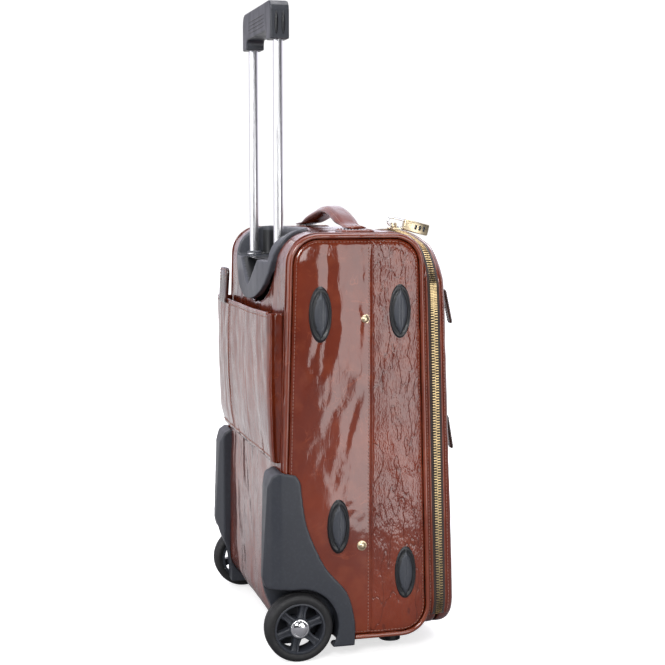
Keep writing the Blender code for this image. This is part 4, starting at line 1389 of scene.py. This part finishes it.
def studio():
    """A white floor. The camera sees it glow, more so with distance; the object only behind itself."""
    reach = 14.0
    floor_mesh = bpy.data.meshes.new("floor")
    corners = [(-reach, -reach, 0), (reach, -reach, 0), (reach, reach, 0), (-reach, reach, 0)]
    floor_mesh.from_pydata(corners, [], [(0, 1, 2, 3)])
    floor = bpy.data.objects.new("floor", floor_mesh)
    bpy.context.scene.collection.objects.link(floor)
    material, n, shader = new_material("floor_paper", (0.62, 0.62, 0.62), 0.8)
    shader.inputs["Emission Color"].default_value = (1, 1, 1, 1)
    shader.inputs["Specular IOR Level"].default_value = 0.1
    seen = n.add("ShaderNodeLightPath").outputs["Is Camera Ray"]
    away = n.add("ShaderNodeVectorMath", operation="LENGTH")
    n.link(n.place, away.inputs[0])
    glow = n.spread(away.outputs["Value"], 0.25, 1.1, 0.66, 1.0)
    behind = n.spread(n.part("X"), -0.7, 0.0, 0.60, 0.0)
    n.link(n.sums("MAXIMUM", n.sums("MULTIPLY", glow, seen), behind), shader.inputs["Emission Strength"])
    n.link(n.blend(seen, (0.20, 0.20, 0.21), (0.62, 0.62, 0.62)), shader.inputs["Base Color"])
    floor_mesh.materials.append(material)


def soft_light(name, place, target, size, power):
    """A square light of so many watts, turned to its target."""
    light = bpy.data.lights.new(name, "AREA")
    light.shape = "RECTANGLE"
    light.size, light.size_y = size
    light.energy = power
    obj = bpy.data.objects.new(name, light)
    obj.location = place
    obj.rotation_euler = (Vector(target) - Vector(place)).to_track_quat("-Z", "Y").to_euler()
    bpy.context.scene.collection.objects.link(obj)


def world_light():
    """White paper behind the object, a dim room on the camera's side."""
    world = bpy.data.worlds.new("studio")
    bpy.context.scene.world = world
    world.use_nodes = True
    tree = world.node_tree

    def background(colour, strength):
        node = tree.nodes.new("ShaderNodeBackground")
        node.inputs["Color"].default_value = (*colour, 1)
        node.inputs["Strength"].default_value = strength
        return node.outputs[0]

    def mixed(share, a, b):
        node = tree.nodes.new("ShaderNodeMixShader")
        tree.links.new(share, node.inputs["Fac"])
        tree.links.new(a, node.inputs[1])
        tree.links.new(b, node.inputs[2])
        return node.outputs[0]

    place = tree.nodes.new("ShaderNodeTexCoord")
    axes = tree.nodes.new("ShaderNodeSeparateXYZ")
    tree.links.new(place.outputs["Generated"], axes.inputs[0])

    def towards(axis, low, high):
        node = tree.nodes.new("ShaderNodeMapRange")
        node.interpolation_type = "SMOOTHSTEP"
        node.inputs["From Min"].default_value = low
        node.inputs["From Max"].default_value = high
        tree.links.new(axes.outputs[axis], node.inputs["Value"])
        return node.outputs["Result"]

    room = background((0.90, 0.92, 1.0), 0.06)
    violet = (0.92, 0.89, 1.0)
    sweep = mixed(towards("Y", -0.3, 0.3), background(violet, 0.85), background(violet, 1.2))
    paper = background((1, 1, 1), 1.05)
    path = tree.nodes.new("ShaderNodeLightPath")
    lit = mixed(towards("X", 0.35, -0.35), room, sweep)
    surface = mixed(path.outputs["Is Camera Ray"], lit, paper)
    tree.links.new(surface, tree.nodes["World Output"].inputs["Surface"])


CAMERA_AT = Vector((1.7043, -0.4530, 0.5456))
CAMERA_TURN, CAMERA_DIP = math.radians(14.983), math.radians(5.775)
LENS_MM = 75.24


def camera():
    """Off the case's right side and a little behind it, looking slightly down."""
    data = bpy.data.cameras.new("camera")
    data.lens = LENS_MM
    data.sensor_width = 36.0
    obj = bpy.data.objects.new("camera", data)
    obj.location = CAMERA_AT
    direction = Vector((
        -math.cos(CAMERA_TURN) * math.cos(CAMERA_DIP), math.sin(CAMERA_TURN) * math.cos(CAMERA_DIP),
        -math.sin(CAMERA_DIP),
    ))
    obj.rotation_euler = direction.to_track_quat("-Z", "Y").to_euler()
    bpy.context.scene.collection.objects.link(obj)
    bpy.context.scene.camera = obj


studio()
world_light()
soft_light("key_softbox", (0.71, 0.26, 0.31), (0.17, 0, 0.30), (0.30, 0.60), 1.9)
soft_light("upper_softbox", (2.6, 0.15, 0.75), (0.17, 0, 0.4), (0.45, 0.5), 4)
soft_light("left_softbox", (0.4, -2.4, 1.0), (0, 0, 0.3), (1.8, 2.0), 26)
soft_light("top_softbox", (0.3, 0.2, 2.4), (0, 0, 0.2), (1.6, 1.6), 34)
soft_light("camera_fill", (2.6, -1.5, 1.9), (0, 0, 0.25), (1.0, 1.0), 70)
camera()
bpy.context.scene.view_settings.view_transform = "Standard"
